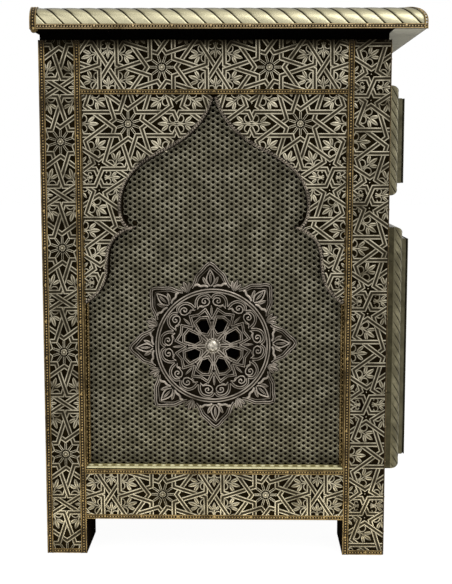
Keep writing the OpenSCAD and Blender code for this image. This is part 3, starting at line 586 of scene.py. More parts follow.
def woven(lines, rise=0.2, base=0.1, flat=2.4):
    """Lifts the lines of one cell by turns, so that they pass over and under all that they cross."""
    visits, count = crossings(lines)
    top = [None] * count
    left = list(range(len(lines)))
    while left:
        # the line that meets the most settled crossings comes next
        k = max(left, key=lambda line: sum(top[n] is not None for _, n, _ in visits[line]))
        left.remove(k)
        votes = sum((1 if (top[n] == end) == (m % 2 == 0) else -1)
                    for m, (_, n, end) in enumerate(visits[k]) if top[n] is not None)
        for m, (_, n, end) in enumerate(visits[k]):
            if top[n] is None:
                over = (m % 2 == 0) == (votes >= 0)
                top[n] = end if over else 1 - end
    out = []
    for p, seen in zip(lines, visits):
        s = distances(p)
        knots = sorted((at + d, rise if top[n] == end else -rise)
                       for at, n, end in seen for d in (-flat, flat))
        knots = np.array([k for k in knots if 0 < k[0] < s[-1]] or [(0, 0)])
        every = np.unique(np.concatenate([s, knots[:, 0]]))
        out.append(np.column_stack([np.interp(every, s, p[:, 0]), np.interp(every, s, p[:, 1]),
                                    base + np.interp(every, knots[:, 0], knots[:, 1])]))
    return out


STRAPS = woven(strap_lines())


def palmette(relief, base, tip):
    """A broad lobed leaf with two curls at its foot."""
    base, tip = np.asarray(base, float), np.asarray(tip, float)
    length, height = np.linalg.norm(tip - base), 0.9
    d = unit(tip - base)
    n = turned(d)

    def at(s, t):
        return base + d * s * length + n * t * length

    line = RIB * (0.95, height, 0.8)
    relief.leaf(at(0.42, 0), at(1.0, 0), 0.27 * length, height, 0.5, 0.5)
    for side in (-1, 1):
        relief.leaf(at(0.42, 0.07 * side), at(0.8, 0.4 * side), 0.24 * length, height * 0.9, 0.5, 0.45)
        curl = [at(0.2 + r * math.cos(a) * 0.9, side * (0.28 + r * math.sin(a)))
                for a, r in zip(np.linspace(-2.5, 3.1, 13), np.linspace(0.24, 0.13, 13))]
        relief.band([at(-0.02, 0.1 * side)] + curl, line)
        relief.leaf(at(0.3, 0.5 * side), at(0.62, 0.6 * side), 0.15 * length, height * 0.8, 0.5, 0.4)
    relief.band([at(-0.05, 0), at(0.5, 0)], line * (1.2, 1, 1))


def rosette_heart(relief):
    relief.dome((0, 0), 4.0, 1.6, 12, 0.1, 0.55)
    relief.dome((0, 0), 1.5, 0.8, 8, 1.4)
    for k in range(10):
        relief.dome(polar(3.0, 36 * k), 0.8, 0.6, 5, 0.9)
        for s in (-1, 1):
            relief.band([polar(5.0, 18 + 36 * k + 10 * s), polar(12.6, 18 + 36 * k + 4.2 * s)],
                        RIB * (0.62, 0.95, 0.9))


def strap_cell(step):
    """One cell of the net, with its rosette at the origin."""
    x, z = CELL_W / 2, CELL_H / 2
    cell = Relief()
    for line in STRAPS:
        cell.band(line, STRAP, step=step)
    rosette_heart(cell)
    for k in range(10):
        r = 52.4 if k in (0, 5) else 50.6
        palmette(cell, polar(r, 36 * k), polar(r - 20.5, 36 * k))
    for s in (-1, 1):
        palmette(cell, (25.5 * s, z), (9 * s, z))
        palmette(cell, (39.5 * s, z), (51.5 * s, z))
        palmette(cell, (x, s * (z - 9)), (x, s * 32))
        cell.domes([(x, 21.7 * s), (32.3, 43.9 * s), (-32.3, 43.9 * s), (0, (z - 8) * s)], 0.9, 0.7, 5)
    return cell


def strapwork(origin, region, turn=False, step=None, tone=1.0):
    """Strapwork over region (a0, a1, b0, b1) with a rosette at origin; turn lays the net on its side."""
    cell = strap_cell(step)
    size = np.array([CELL_W, CELL_H])
    # the crossed straps reach into the next cell
    before, after = size / 2 + (6, 6 + CELL_H), size / 2 + 6
    if turn:
        cell.points = [p[:, [1, 0, 2]] * (1, -1, 1) for p in cell.points]
        size, before, after = size[::-1], before[::-1], after[::-1]
    low, high = np.array(region).reshape(2, 2).T
    first, last = ((low - origin) / size).astype(int) - 2, ((high - origin) / size).astype(int) + 3
    nodes = [origin + (i, j) * size for i in range(first[0], last[0]) for j in range(first[1], last[1])]
    relief = Relief()
    relief.repeat(cell, [(*at, 0) for at in nodes if (low - before < at).all() and (at < high + after).all()],
                  tone)
    return relief


def paint_overhang_shade(relief):
    """Painted shade under the overhang of the top darkens the upper end of a relief, over its last 8 mm below
    the frame's top.
    """
    relief.wear = [w * np.clip((Z_FRAME - p[:, 1]) / 8, 0.04, 1) for p, w in zip(relief.points, relief.wear)]


def sheet_piece(name, on, parts, height, material, slot, body="cabinet", clear=()):
    """One piece of strapwork from parts (origin, region, turn, tone); the rectangles in clear stay bare."""
    pieces = []
    for k, (origin, region, turn, tone) in enumerate(parts):
        r = strapwork(origin, region, turn, tone=tone)
        r.points = [p * (1, 1, height) for p in r.points]
        if region[3] == Z_FRAME:
            paint_overhang_shade(r)
        for a0, a1, b0, b1 in clear:
            r.keep(lambda p: (p[:, 0] < a0) | (p[:, 0] > a1) | (p[:, 1] < b0) | (p[:, 1] > b1))
        pieces.append(r.piece(f"{name}_{k}", material, slot, on, body, region))
    return join(pieces, name)


# The arch of the side panels


def arch_half():
    """From the point of the arch down to the post, as (distance from the middle, height)."""
    half = POST_1 - Y_MID

    def at(inset, drop):
        return np.array([half - inset, Z_ARCH - drop])

    neck, lobe, cusp = at(91.8, 60), at(42.2, 120.5), at(56.2, 144.5)
    haunch, foot = at(27.2, 185.5), at(0, 230)
    apex, slope = np.array([0, Z_ARCH - 2.8]), np.array([26, -12.5])
    return np.vstack([
        [apex],
        cubic(apex, apex + (6, -24.7), neck - slope, neck, 10),
        cubic(neck, neck + slope, lobe + (0, 33), lobe, 10),
        cubic(lobe, lobe - (0, 13), cusp + (9.5, 2), cusp, 6),
        cubic(cusp, cusp + (19.5, -6), haunch + (0, 26), haunch, 8),
        cubic(haunch, haunch - (0, 24), foot + (-14.75, 9.6), foot, 8)])


ARCH = arch_half()
ARCH_NORMAL = turned(unit(np.gradient(ARCH, axis=0)))


def rope(relief, line, width, pitch, height, lift, lean=0.9):
    """A rope trim: slanting beads in a row along a line."""
    for centre, d in zip(*evenly(line, pitch)):
        across = unit(turned(d) + d * lean)
        relief.leaf(centre - across * width * 0.56, centre + across * width * 0.56, pitch * 1.05, height, 0.5,
                    0.0, lift)


def spandrel_piece(side, end):
    """Strapwork on one spandrel board, and the roped trim along its arch."""
    s = 1 if end == "rear" else -1
    a0, a1 = sorted((Y_MID, POST_1 if s > 0 else POST_0))
    b0 = ARCH[-1][1]
    on = side_face(side, X_SPANDREL)
    straps = strapwork((Y_MID + 93.2 * s, 480.3), (a0, a1, b0, Z_ARCH), step=2.0, tone=1.1)
    corner = [[POST_1 - Y_MID + 2, Z_ARCH + 2], [-2, Z_ARCH + 2]]
    board = np.vstack([ARCH + ARCH_NORMAL * 1.6, corner])
    straps.keep(inside_polygon(board * (s, 1) + (Y_MID, 0)))
    straps.piece(f"{side}_{end}_spandrel_straps", SHEET, "spandrel_metal", on,
                 rect=(a0 + 0.2, a1 - 0.2, b0, Z_ARCH - 0.2))
    trim = Relief()
    line = (ARCH + ARCH_NORMAL * 2.1) * (s, 1) + (Y_MID, 0)
    # one ridge of the trim band is painted lighter than the other: painted highlight and painted shade along
    # the arch's edge
    trim.band(line, [(-2.0, 0, 0.1), (-1.9, 1.2, 0.3), (-1.5, 1.3, 0.3), (-1.2, 1.0, 0.05), (1.2, 1.0, 0.05),
                     (1.5, 1.3, 0.8), (1.9, 1.2, 0.5), (2.0, 0, 0.1)])
    rope(trim, line, 2.7, BEAD_PITCH, 1.1, 1.0)
    trim.piece(f"{side}_{end}_arch_trim", TRIM, "spandrel_metal", on, rect=(a0, a1, b0, Z_ARCH))


# Punched panels

DIMPLE_W, DIMPLE_H = 5.1, 6.0


def punched(relief, region, inside):
    """A net of round dimples with a raised lower lip that is painted bright as a painted highlight, over
    region (a0, a1, b0, b1).
    """
    a0, a1, b0, b1 = region
    centres = np.array([(a0 + (i + 0.5) * DIMPLE_W, b0 + (j + 0.25 + 0.5 * (i % 2)) * DIMPLE_H)
                        for i in range(int((a1 - a0) / DIMPLE_W)) for j in range(int((b1 - b0) / DIMPLE_H))])
    a = np.arange(6) * np.pi / 3
    ring = np.stack([np.cos(a), np.sin(a)], -1)
    corners = np.array([(2, 0), (1, 1), (-1, 1), (-2, 0), (-1, -1), (1, -1)]) * (DIMPLE_W / 3, DIMPLE_H / 2)
    low = np.clip(-ring[:, 1], 0, 1)
    dimple = Relief()
    # the lower lip is raised and painted lighter: a painted highlight of light from above
    dimple.rings([(corners, 0.62, 0.5), (ring * 2.35, 0.85 + 0.3 * low, 0.55 + 0.45 * low),
                  (ring * 1.95, 0.65 + 0.2 * low, 0.15 + 0.25 * low), (ring * 1.65, 0.1, 0.0)], (0, 0, 0, 0))
    relief.repeat(dimple, [(*centre, 0.1) for centre in centres[inside(centres)]])


def punched_piece(side):
    """The dimples that show through the arch and round the medallion."""
    opening = np.vstack([ARCH, [[POST_1 - Y_MID, Z_PANEL]], [[0, Z_PANEL]]])
    halves = [inside_polygon(opening * (s, 1) + (Y_MID, 0)) for s in (1, -1)]

    def shows(p):
        lowered = p - (0, 5)
        in_arch = halves[0](lowered) | halves[1](lowered) | (p[:, 1] < Z_PANEL + 6)
        return in_arch & (np.hypot(*(p - MEDAL_AT).T) > 56)

    r = Relief()
    punched(r, (POST_0, POST_1, Z_PANEL, Z_ARCH), shows)
    r.piece(f"{side}_punched_dimples", PUNCHED, "punched_metal", side_face(side, X_PANEL),
            rect=(POST_0, POST_1, Z_PANEL + 1, Z_ARCH))


def ledge_piece(side):
    """The punched sheet's lower strip, bent out over the apron: a lip painted bright as a painted highlight,
    and a row of domes.
    """
    s = SIDES[side]
    depth = X_FACE - X_PANEL - 1
    half = depth / 2
    r = Relief()
    # painted highlight: the outer lip gets the highest values
    r.band([(POST_0 + 0.5, half), (POST_1 - 0.5, half)],
           [(-half, 0.3, 0.3), (0.8 - half, 0.5, 0.42), (half - 7, 0.5, 0.48), (half - 5.6, 1.1, 0.95),
            (half - 0.6, 1.2, 1), (half, 0.1, 0.4)], step=12)
    r.domes([(a, depth - 10) for a in np.arange(POST_0 + 7.6, POST_1 - 4, 10.2)], 3.6, 2.0, 8, 0.4)
    upwards = face((s * (X_PANEL + 1), 0, Z_PANEL + 0.8), (0, 1, 0), (s, 0, 0), (0, 0, 0.8), True)
    r.piece(f"{side}_ledge_dimples", LIT_LEDGE, "punched_metal", upwards)


# Brass strips


def beaded_strip(relief, a0, a1, b0, b1):
    """Edge ridges, a row of beads between them and small nails, over a rectangle."""
    upright = b1 - b0 > a1 - a0
    if upright:
        start, length, width, mid = b0, b1 - b0, a1 - a0, (a0 + a1) / 2
    else:
        start, length, width, mid = a0, a1 - a0, b1 - b0, (b0 + b1) / 2

    def at(s, t):
        return (mid + t, start + s) if upright else (start + s, mid + t)

    for t in (-1, 1):
        edge = t * (width / 2 - 0.8)
        relief.band([at(0, edge), at(length, edge)],
                    [(-0.7, 0.05, 0.2), (-0.35, 0.75, 0.8), (0.35, 0.75, 0.8), (0.7, 0.05, 0.2)], step=9)
    beads, nails = int(length / BEAD_PITCH), max(1, int(length / 38))
    relief.domes([at((k + 0.5) * length / beads, 0) for k in range(beads)], 1.15, 0.85, 6, 0.05)
    relief.domes([at((k + 0.5) * length / nails, 0.4) for k in range(nails)], 1.7, 1.5, 8, 0.1)


def side_strips():
    """The rectangles of the strips on one side."""
    rects = [(a, a + STRIP, 0, Z_FRAME) for a in (Y_BACK - STRIP, POST_1, POST_0 - STRIP)]
    for z in (Z_APRON, Z_PANEL - STRIP_NARROW, Z_ARCH):
        rects.append((POST_0 + 0.2, POST_1 - 0.2, z, z + STRIP_NARROW))
    rects.append((POST_1 + STRIP + 0.2, Y_BACK - STRIP - 0.2, 0, STRIP_NARROW))
    rects.append((Y_FRONT, POST_0 - STRIP - 0.2, 0, STRIP_NARROW))
    return rects


# Mouldings

GROOVE_PHASES = (0, 0.02, 0.045, 0.08, 0.14, 0.25, 0.38, 0.5, 0.62, 0.75, 0.86, 0.92, 0.955, 0.98)


def fluted(name, length, profile, place, ends, pitch, slant, depth, look, body="cabinet", sharp=0.1,
           reach=(0, 1), painted_sheen=(0.55, 0.55)):
    """A moulding with slanting grooves. profile is (inset, out) points; ends says which ends are mitred.
    reach is the share of the section that the grooves cover, and painted_sheen its wear-and-light values from
    first to last point: a painted highlight and painted shade along the section."""
    p = np.asarray(profile, float)
    normal = turned(unit(np.gradient(p, axis=0)))
    arc = distances(p)
    share = arc / arc[-1]
    lean = arc[-1] * slant
    turns = np.arange(math.floor(min(0, lean) / pitch), math.ceil((length + max(0, lean)) / pitch) + 1)
    phase = (turns[:, None] + GROOVE_PHASES).ravel()
    s = phase[:, None] * pitch - arc * slant
    s0, s1 = p[:, 0] * ends[0], length - p[:, 0] * ends[1]
    seen = np.flatnonzero((s > s0).any(1) & (s < s1).any(1))
    rows = slice(seen[0] - 1, seen[-1] + 2)
    phase, s = phase[rows], np.clip(s[rows], s0, s1)
    f = np.abs(phase % 1 - 0.5)[:, None] * 2
    groove = np.exp(-((1 - f) / sharp) ** 2)
    swell = np.cos(f * np.pi / 2) * 0.4
    fade = np.clip(np.minimum(share - reach[0], reach[1] - share) * arc[-1] / 2.5, 0, 1)
    # painted sheen: lighter and darker bands along the section stand for light and shade on the moulding
    wear = np.interp(share, np.linspace(0, 1, len(painted_sheen)), painted_sheen)
    move = (swell - groove) * depth * fade
    r = Relief()
    r.grid(np.stack([s, p[:, 0] + normal[:, 0] * move, p[:, 1] + normal[:, 1] * move], -1),
           np.clip(wear + 0.2 * swell * fade - groove * 0.85 * fade, 0, 1))
    return r.piece(name, *look, place, body)


def edge_profile():
    """The edge moulding's section from its foot, as (inset from the outer face, height above the neck)."""
    t, foot, radius = Z_TOP - Z_NECK, 8.5, 15
    curve = [(radius - radius * math.cos(a), foot + (t - foot) * math.sin(a))
             for a in np.linspace(0, math.pi / 2, 11)]
    return [(0, 0), (0, 3), (0, 5.8)] + curve + [(18, t), (22, t)]


EDGE_PROFILE = edge_profile()
EDGE_PITCH, EDGE_SLANT = 18.6, 0.95


def half_round(w, h):
    return [(w / 2 - w / 2 * math.cos(a), h * math.sin(a)) for a in np.linspace(0, math.pi, 13)]


def top_edges():
    """The grooved mouldings round the top."""
    # painted sheen from foot to top: a painted highlight low on the moulding and painted shade over its upper
    # curve
    look, painted_sheen = (EDGE, "edge_metal"), (0.55, 0.88, 0.95, 0.45, 0.3, 0.28, 0.3)
    ahead = face((-X_TOP, Y_TOP, Z_NECK), (1, 0, 0), (0, 1, 0), (0, 0, 1), True)
    front = fluted("top_front_edge", 2 * X_TOP, EDGE_PROFILE, ahead, (1, 1), EDGE_PITCH, EDGE_SLANT, 0.9,
                   look, painted_sheen=painted_sheen)
    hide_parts("top_front_moulding")
    for side in SIDES:
        edge = fluted(f"top_{side}_edge", Y_TOP_BACK - Y_TOP, EDGE_PROFILE, edge_face(side, Y_TOP), (1, 0),
                      EDGE_PITCH, -EDGE_SLANT, 0.9, look, painted_sheen=painted_sheen)
        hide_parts(f"top_{side}_moulding")


def undersides():
    """The top from below: pale where the front overhangs, and near-black along the sides as painted shade."""
    front, sides = Relief(), Relief()
    front.flat(-X_TOP, X_TOP, Y_TOP, Y_FRONT)
    for s in (-1, 1):
        sides.flat(*span(s, X_TOP - 45, X_TOP), Y_FRONT, Y_TOP_BACK)
    below = top_face(Z_NECK - 0.05)
    front.piece("top_front_underside", UNDERSIDE, "carcass_wood", below)
    sides.piece("top_side_undersides", SHADE_BLACK_WOOD, "dark_wood", below)


def bent_strip(relief, a0, a1, out=0.0):
    """A beaded strip bent over the top's edge, from a0 to a1 along it."""
    p = np.asarray(EDGE_PROFILE, float)
    normal = turned(unit(np.gradient(p, axis=0)))
    for t in (a0 + 0.7, a1 - 0.7):
        grid = np.empty((len(p), 4, 3))
        for j, (offset, up) in enumerate(((-0.7, 0.05), (-0.35, 0.75), (0.35, 0.75), (0.7, 0.05))):
            grid[:, j, 0] = t + offset
            grid[:, j, 1:] = p + normal * (up + out)
        relief.grid(grid, (0.2, 0.9, 0.9, 0.2))
    a = np.arange(7) * 2 * np.pi / 6
    for centre, d in zip(*evenly(p, 3.0)):
        grid = np.empty((3, 7, 3))
        for i, (r, h) in enumerate(((1.2, 0.05), (0.9, 0.6), (0.05, 0.9))):
            grid[i, :, 0] = (a0 + a1) / 2 + r * np.cos(a)
            grid[i, :, 1:] = centre + d * (r * np.sin(a))[:, None] + turned(d) * (h + out)
        relief.grid(grid, np.array([[0.1], [0.75], [1.0]]))


def edge_end(side):
    """What closes the rear end of a side edge: the section, a beaded strip round it and a nail in a lobe."""
    r = Relief()
    length = Y_TOP_BACK - Y_TOP
    bent_strip(r, length - STRIP, length, 0.85)
    r.brass(f"top_{side}_cap_beads", edge_face(side, Y_TOP))
    inset, t = EDGE_PROFILE[-1]
    ring = np.vstack([EDGE_PROFILE, [(inset, 0), (inset * 0.6, t * 0.5)]])
    n = len(ring) - 1
    k = np.arange(n)
    r = Relief()
    r.add(np.column_stack([np.zeros(n + 1), ring]), np.full(n + 1, 0.5),
          tris=np.stack([k, (k + 1) % n, np.full(n, n)], -1))
    r.piece(f"top_{side}_end", EDGE_GROUND, "moulding_metal", edge_face(side, Y_TOP_BACK, True))
    r = Relief()
    y = Y_TOP_BACK - 4.4
    r.band([(y - 0.2, Z_NECK + 1), (y - 0.2, Z_NECK - 0.2), (y, Z_NECK - 1.2)],
           [(-4.4, 0, 0.15), (-4.0, 1.0, 0.4), (4.0, 1.0, 0.4), (4.4, 0, 0.15)])
    r.dome((y, Z_NECK - 0.4), 3.6, 1.5, 12, 0.0, 0.45)
    r.dome((y, Z_NECK + 0.6), 1.7, 1.2, 8, 1.4)
    r.brass(f"top_{side}_cap_nail", side_face(side, X_TOP - 0.4))


def mitre_beads(side):
    """The beaded strip over a front mitre, along which the section's inset runs diagonally."""
    s = SIDES[side]
    r = Relief()
    bent_strip(r, -3.0, 3.0)
    mitre = face((s * X_TOP, Y_TOP, Z_NECK), (-0.7 * s, -0.7, 0), (-s, 1, 0), (0, 0, 1), True)
    r.brass(f"top_{side}_mitre_beads", mitre)


def roped_frame(node, body):
    """The mitred half-round frame of a drawer or door front."""
    (x0, y0, z0), (x1, y1, z1) = BOX[node]
    w, h = x1 - x0, z1 - z0
    bars = [(w, (x0, y1, z0), (1, 0, 0), (0, 0, 1)), (w, (x1, y1, z1), (-1, 0, 0), (0, 0, -1)),
            (h, (x1, y1, z0), (0, 0, 1), (-1, 0, 0)), (h, (x0, y1, z1), (0, 0, -1), (1, 0, 0))]
    made = [fluted(f"{node}_{k}", length, half_round(13.5, y1 - y0), face(*place, (0, -1, 0)), (1, 1), 12.0,
                   -1.5, 0.6, (MOULD, "moulding_metal"), body, 0.12, (0.06, 0.94))
            for k, (length, *place) in enumerate(bars)]
    piece = join(made, f"{node}_rope")
    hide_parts(node)


# Medallions

MEDAL_AT = tuple((BOX["left_medallion"][0] + BOX["left_medallion"][1])[1:] / 2)
MEDAL_TURN = math.radians(2.0)
PLATE, WORK = 2.4, 4.0
DOUBLE = np.array([(-1.5, 0, 0), (-1.2, 0.8, 0.8), (-0.75, 1.0, 1), (-0.25, 0.45, 0.1),
                   (0.25, 0.45, 0.1), (0.75, 1.0, 1), (1.2, 0.8, 0.8), (1.5, 0, 0)])


def polars(*pairs):
    return [polar(r, a) for r, a in pairs]


# a petal, the line inside it, its bud and wing, and two scrolls between the star and the ring, as
# (points, profile, height over the plate)
MEDAL_LINES = [
    (smooth([(65.5, 21.5), (68.2, 19.4), (73.5, 17.0), (78.5, 15.2), (82.2, 11.8), (86.2, 7.6), (90.2, 4.2),
             (92.8, 0)], 3), DOUBLE * (1.25, 1.1, 1), 0),
    (smooth([(68.5, 16.6), (72.5, 14.2), (77.0, 12.0), (80.2, 8.8), (84.0, 4.6), (87.6, 0)], 3),
     RIB * (0.75, 1, 0.7), 0),
    (smooth([(67.0, 0.6), (71.0, 3.6), (75.5, 4.4), (80.5, 2.8), (85.6, 0)], 3), RIB * (1.2, 1.7, 1), 0),
    (smooth([(66.2, 3.0), (67.8, 7.0), (67.4, 11.5), (69.4, 14.8), (68.4, 17.6)], 3), RIB * (1.9, 1.5, 1), 0),
    (smooth(polars((53.2, 0.7), (57.2, 4.0), (58.2, 9.0), (56.6, 14.5), (52.2, 18.8), (46.6, 21.0))),
     DOUBLE * (1.3, 1, 1), 0.6),
    (smooth(polars((44.6, 20.6), (46.6, 16.0), (45.6, 11.2), (46.3, 5.0), (50.0, 2.2), (53.8, 5.2),
                   (53.6, 10.0), (50.2, 11.6), (48.6, 8.6), (50.4, 6.8))), RIB * (0.95, 1.25, 1), 0.4)]

# (start, end, width, height, belly, crease, height over the plate, degrees from the petal's middle)
MEDAL_LEAVES = [
    ((69.5, 0), (82.5, 0), 3.4, 1.5, 0.5, 0.3, 0, 0),
    ((68.4, 4.4), (77.6, 8.6), 4.6, 1.4, 0.5, 0.5, 0, 0),
    ((65.5, 1.2), (76.0, 5.4), 4.2, 1.3, 0.6, 0.4, 0, 22.5),
    ((64.8, 0), (79.0, 0), 5.2, 1.5, 0.6, 0.5, 0, 22.5),
    ((33.5, 0), (45.5, 0), 3.2, 1.3, 0.45, 0.5, 0.3, 0),
    (polar(43.6, 10), polar(48.0, 17), 3.0, 1.1, 0.5, 0.4, 0.3, 0)]

WINDOW = [(13.4, 0), (18.6, 6.7), (32.0, 7.8), (34.6, 0), (32.0, -7.8), (18.6, -6.7)]
ARM = [(27.6, 10.9), (40.4, 9.2), (38.0, 0), (40.4, -9.2), (27.6, -10.9)]


def swung(line, degrees, s=1):
    """The line turned about the medallion's centre, after its mirror image is taken where s is -1."""
    c, d = math.cos(math.radians(degrees)), math.sin(math.radians(degrees))
    line = np.asarray(line, float) * (1, s)
    return np.stack([line[:, 0] * c - line[:, 1] * d, line[:, 0] * d + line[:, 1] * c], -1)


def medallion_piece(side):
    """The ring, eight petals with what lies between them, and the pierced star with its boss."""
    r = Relief()
    r.band([polar(62.2, 5 * k) for k in range(72)], DOUBLE * (1.7, 1, 1), WORK, closed=True)
    for at in range(0, 360, 45):
        for s in (1, -1):
            for line, profile, lift in MEDAL_LINES:
                r.band(swung(line, at, s), profile, PLATE + lift)
            for *ends, width, height, belly, crease, lift, degrees in MEDAL_LEAVES:
                if s > 0 or ends[1][1]:
                    r.leaf(*swung(ends, at + degrees, s), width, height, belly, crease, PLATE + lift)
            r.dome(polar(51.0, at + 7.8 * s), 1.3, 1.2, 6, PLATE + 0.3)
        r.band(swung(WINDOW, at + 22.5), DOUBLE * (1.15, 1, 1), WORK, closed=True)
        r.band(swung(ARM, at + 22.5), DOUBLE * (1.15, 1, 1), PLATE + 0.7)
        r.band(polars((6.0, at), (27.5, at)), DOUBLE * (1.5, 1, 1), WORK)
    skirt = ((6, 0.9), (10.5, 0.45), (14.5, 0))
    r.grid(np.array([[(*polar(q, 15 * k), WORK + up) for q, up in skirt] for k in range(25)]), 0.42)
    boss = Relief()
    boss.dome((0, 0), 7.6, 4.6, 24, WORK - 0.1)
    boss.domes([polar(7.9, 22.5 * k) for k in range(16)], 1.2, 1.1, 6, WORK)
    sign, d, c = SIDES[side], math.sin(MEDAL_TURN), math.cos(MEDAL_TURN)
    place = face((sign * X_PANEL, *MEDAL_AT), (0, d, c), (0, c, -d), (sign, 0, 0))
    boss.piece(f"{side}_medallion_boss", POLISHED_LIT_BOSS, "medallion_metal", place)
    r.piece(f"{side}_medallion_work", MEDAL, "medallion_metal", place)


# Assembly

# the first row with a word that is in a node's name gives its material and slot
NODE_LOOKS = [
    ("frame_sheets top_sheet", GROUND, "embossed_metal"),
    ("spandrel", GROUND, "spandrel_metal"),
    ("punched_sheet", GROUND, "punched_metal"),
    ("medallion", MEDAL_GROUND, "medallion_metal"),
    ("strips", BRASS_GROUND, "brass_strip"),
    ("hinge_leaves hinge_pins", HINGE, "hinge_brass"),
    ("knob_screw strike", STEEL, "screw_steel"),
    ("drawer_knob door_knob", KNOB, "knob_brass"),
    ("field", FIELD_SIDE, "field_metal"),
    ("drawer_front door_board", SIDE_METAL, "front_metal"),
    ("catch", PLASTIC, "catch_plastic"),
    ("drawer_sides drawer_back drawer_bottom", DRAWER_WOOD, "drawer_wood"),
    ("drawer_runners drawer_kickers", INNER, "guide_wood"),
    ("inner_board", INNER, "inner_wood"),
    ("divider_board bottom_board", FLOOR_WOOD, "inner_wood"),
    ("side_board neck_board", SHADE_BLACK_WOOD, "dark_wood"),
    ("_post", SHADE_DARK_POST_WOOD, "carcass_wood"),
    ("back_panel", CARCASS, "dark_wood"),
    ("moulding", SIDE_METAL, "moulding_metal"),
    ("_", CARCASS, "carcass_wood")]


def clad():
    """Materials for the CAD nodes that stay visible."""
    for name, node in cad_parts.items():
        material, slot = next(look for words, *look in NODE_LOOKS if any(w in name for w in words.split()))
        node.data.materials.clear()
        node.data.materials.append(material)
        if not node.get("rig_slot"):
            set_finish(node, slot)


def recess_beads(side):
    """Beads where the punched panel meets the posts, and strips on the posts' faces beside the recess."""
    s = SIDES[side]
    heights = np.arange(Z_PANEL + 4, Z_ARCH - 150, BEAD_PITCH)
    r = Relief()
    for y in (POST_0 + 1.7, POST_1 - 1.7):
        r.band([(y, heights[0] - 2), (y, heights[-1])],
               [(-1.7, 0, 0.3), (-1.5, 0.5, 0.6), (1.5, 0.5, 0.6), (1.7, 0, 0.3)], step=9)
        r.domes([(y, z) for z in heights], 1.35, 1.3, 6, 0.45)
    r.brass(f"{side}_recess_beads", side_face(side, X_PANEL + 3))
    for end, y, out in (("rear", POST_1, -1), ("front", POST_0, 1)):
        r = Relief()
        beaded_strip(r, X_FACE - 8.5, X_FACE - 0.4, Z_PANEL + 1, Z_ARCH - 2)
        r.domes([(X_FACE - 2.4, z) for z in np.arange(Z_PANEL + 6, Z_ARCH - 150, 6)], 1.9, 2.0, 6, 0.3)
        reveal = face((0, y + out * 0.05, 0), (s, 0, 0), (0, 0, 1), (0, out, 0))
        r.brass(f"{side}_{end}_reveal_beads", reveal)


def clad_sides():
    rear, front = (POST_1 + STRIP, Y_BACK - STRIP), (Y_FRONT, POST_0 - STRIP)
    rail, apron = (Z_ARCH + STRIP_NARROW, Z_FRAME), (Z_APRON + STRIP_NARROW, Z_PANEL - STRIP_NARROW)
    parts = [(((POST_1 + Y_BACK) / 2, Z_ROSETTE), (*rear, STRIP_NARROW, Z_FRAME), False, 0.92),
             ((Y_FRONT - 12, Z_ROSETTE), (*front, STRIP_NARROW, Z_FRAME), False, 0.96),
             ((Y_MID + 56, (Z_ARCH + Z_FRAME) / 2), (POST_0, POST_1, *rail), True, 1.1),
             ((Y_MID + 58, (Z_APRON + Z_PANEL) / 2), (POST_0, POST_1, *apron), True, 1.0)]
    for side in SIDES:
        sheet_piece(f"{side}_strapwork", side_face(side, X_FACE), parts, 1.0, SHEET, "embossed_metal")
        for end in ("front", "rear"):
            spandrel_piece(side, end)
        punched_piece(side)
        ledge_piece(side)
        medallion_piece(side)
        r = Relief()
        for rect in side_strips():
            beaded_strip(r, *rect)
        paint_overhang_shade(r)
        r.brass(f"{side}_strip_beads", side_face(side, X_FACE + 0.8))
        recess_beads(side)


def clad_back():
    """Brown wood on the back faces of the rear posts."""
    (x0, _, z0), (x1, y1, z1) = BOX["rear_left_post"]
    r = Relief()
    for s in (-1, 1):
        r.flat(*span(s, x0, x1), z0, z1)
    behind = face((0, y1 + 0.05, 0), (1, 0, 0), (0, 0, 1), (0, 1, 0), True)
    r.piece("post_backs", CARCASS, "carcass_wood", behind)


def front_sheets():
    parts = []
    for s in (-1, 1):
        region = (*span(s, LAP + 1, X_FACE - STRIP), STRIP_NARROW, Z_FRAME)
        parts.append(((s * (X_BAY + X_FACE) / 2, Z_ROSETTE), region, False, 1.0))
    for z0, z1 in FRONT_RAILS:
        parts.append(((0, (z0 + z1) / 2), (-X_BAY + STRIP, X_BAY - STRIP, z0, z1), True, 1.0))
    clear = [(HINGE_LEAF[0][0], -X_BAY, z0, z1) for z0, z1 in HINGES]
    sheet_piece("front_strapwork", front_face(Y_FRONT), parts, 1.0, SHEET, "embossed_metal", clear=clear)


def hinge_screws():
    """Screw heads on the hinge leaves of the post."""
    r = Relief()
    for z0, z1 in HINGES:
        for part in (0.16, 0.5, 0.84):
            r.dome((HINGE_LEAF[0][0] + 8.5, z0 + part * (z1 - z0)), 2.5, 0.7, 12, 0.0, 0.9)
    r.piece("hinge_screws", HINGE, "hinge_brass", front_face(HINGE_LEAF[1][1] - 1.5))


def front_strips():
    foot = STRIP_NARROW + 0.2
    r = Relief()
    for s in (-1, 1):
        beaded_strip(r, *span(s, X_FACE - STRIP, X_FACE - 0.2), foot, Z_FRAME)
        for z0, z1 in ((foot, FRONT_RAILS[0][1]), FRONT_RAILS[1], FRONT_RAILS[2]):
            beaded_strip(r, *span(s, X_BAY, X_BAY + STRIP), z0, z1)
        beaded_strip(r, *span(s, X_BAY, X_FACE - 0.2), 0, STRIP_NARROW)
    paint_overhang_shade(r)
    r.brass("front_strip_beads", front_face(Y_FRONT - 0.8))


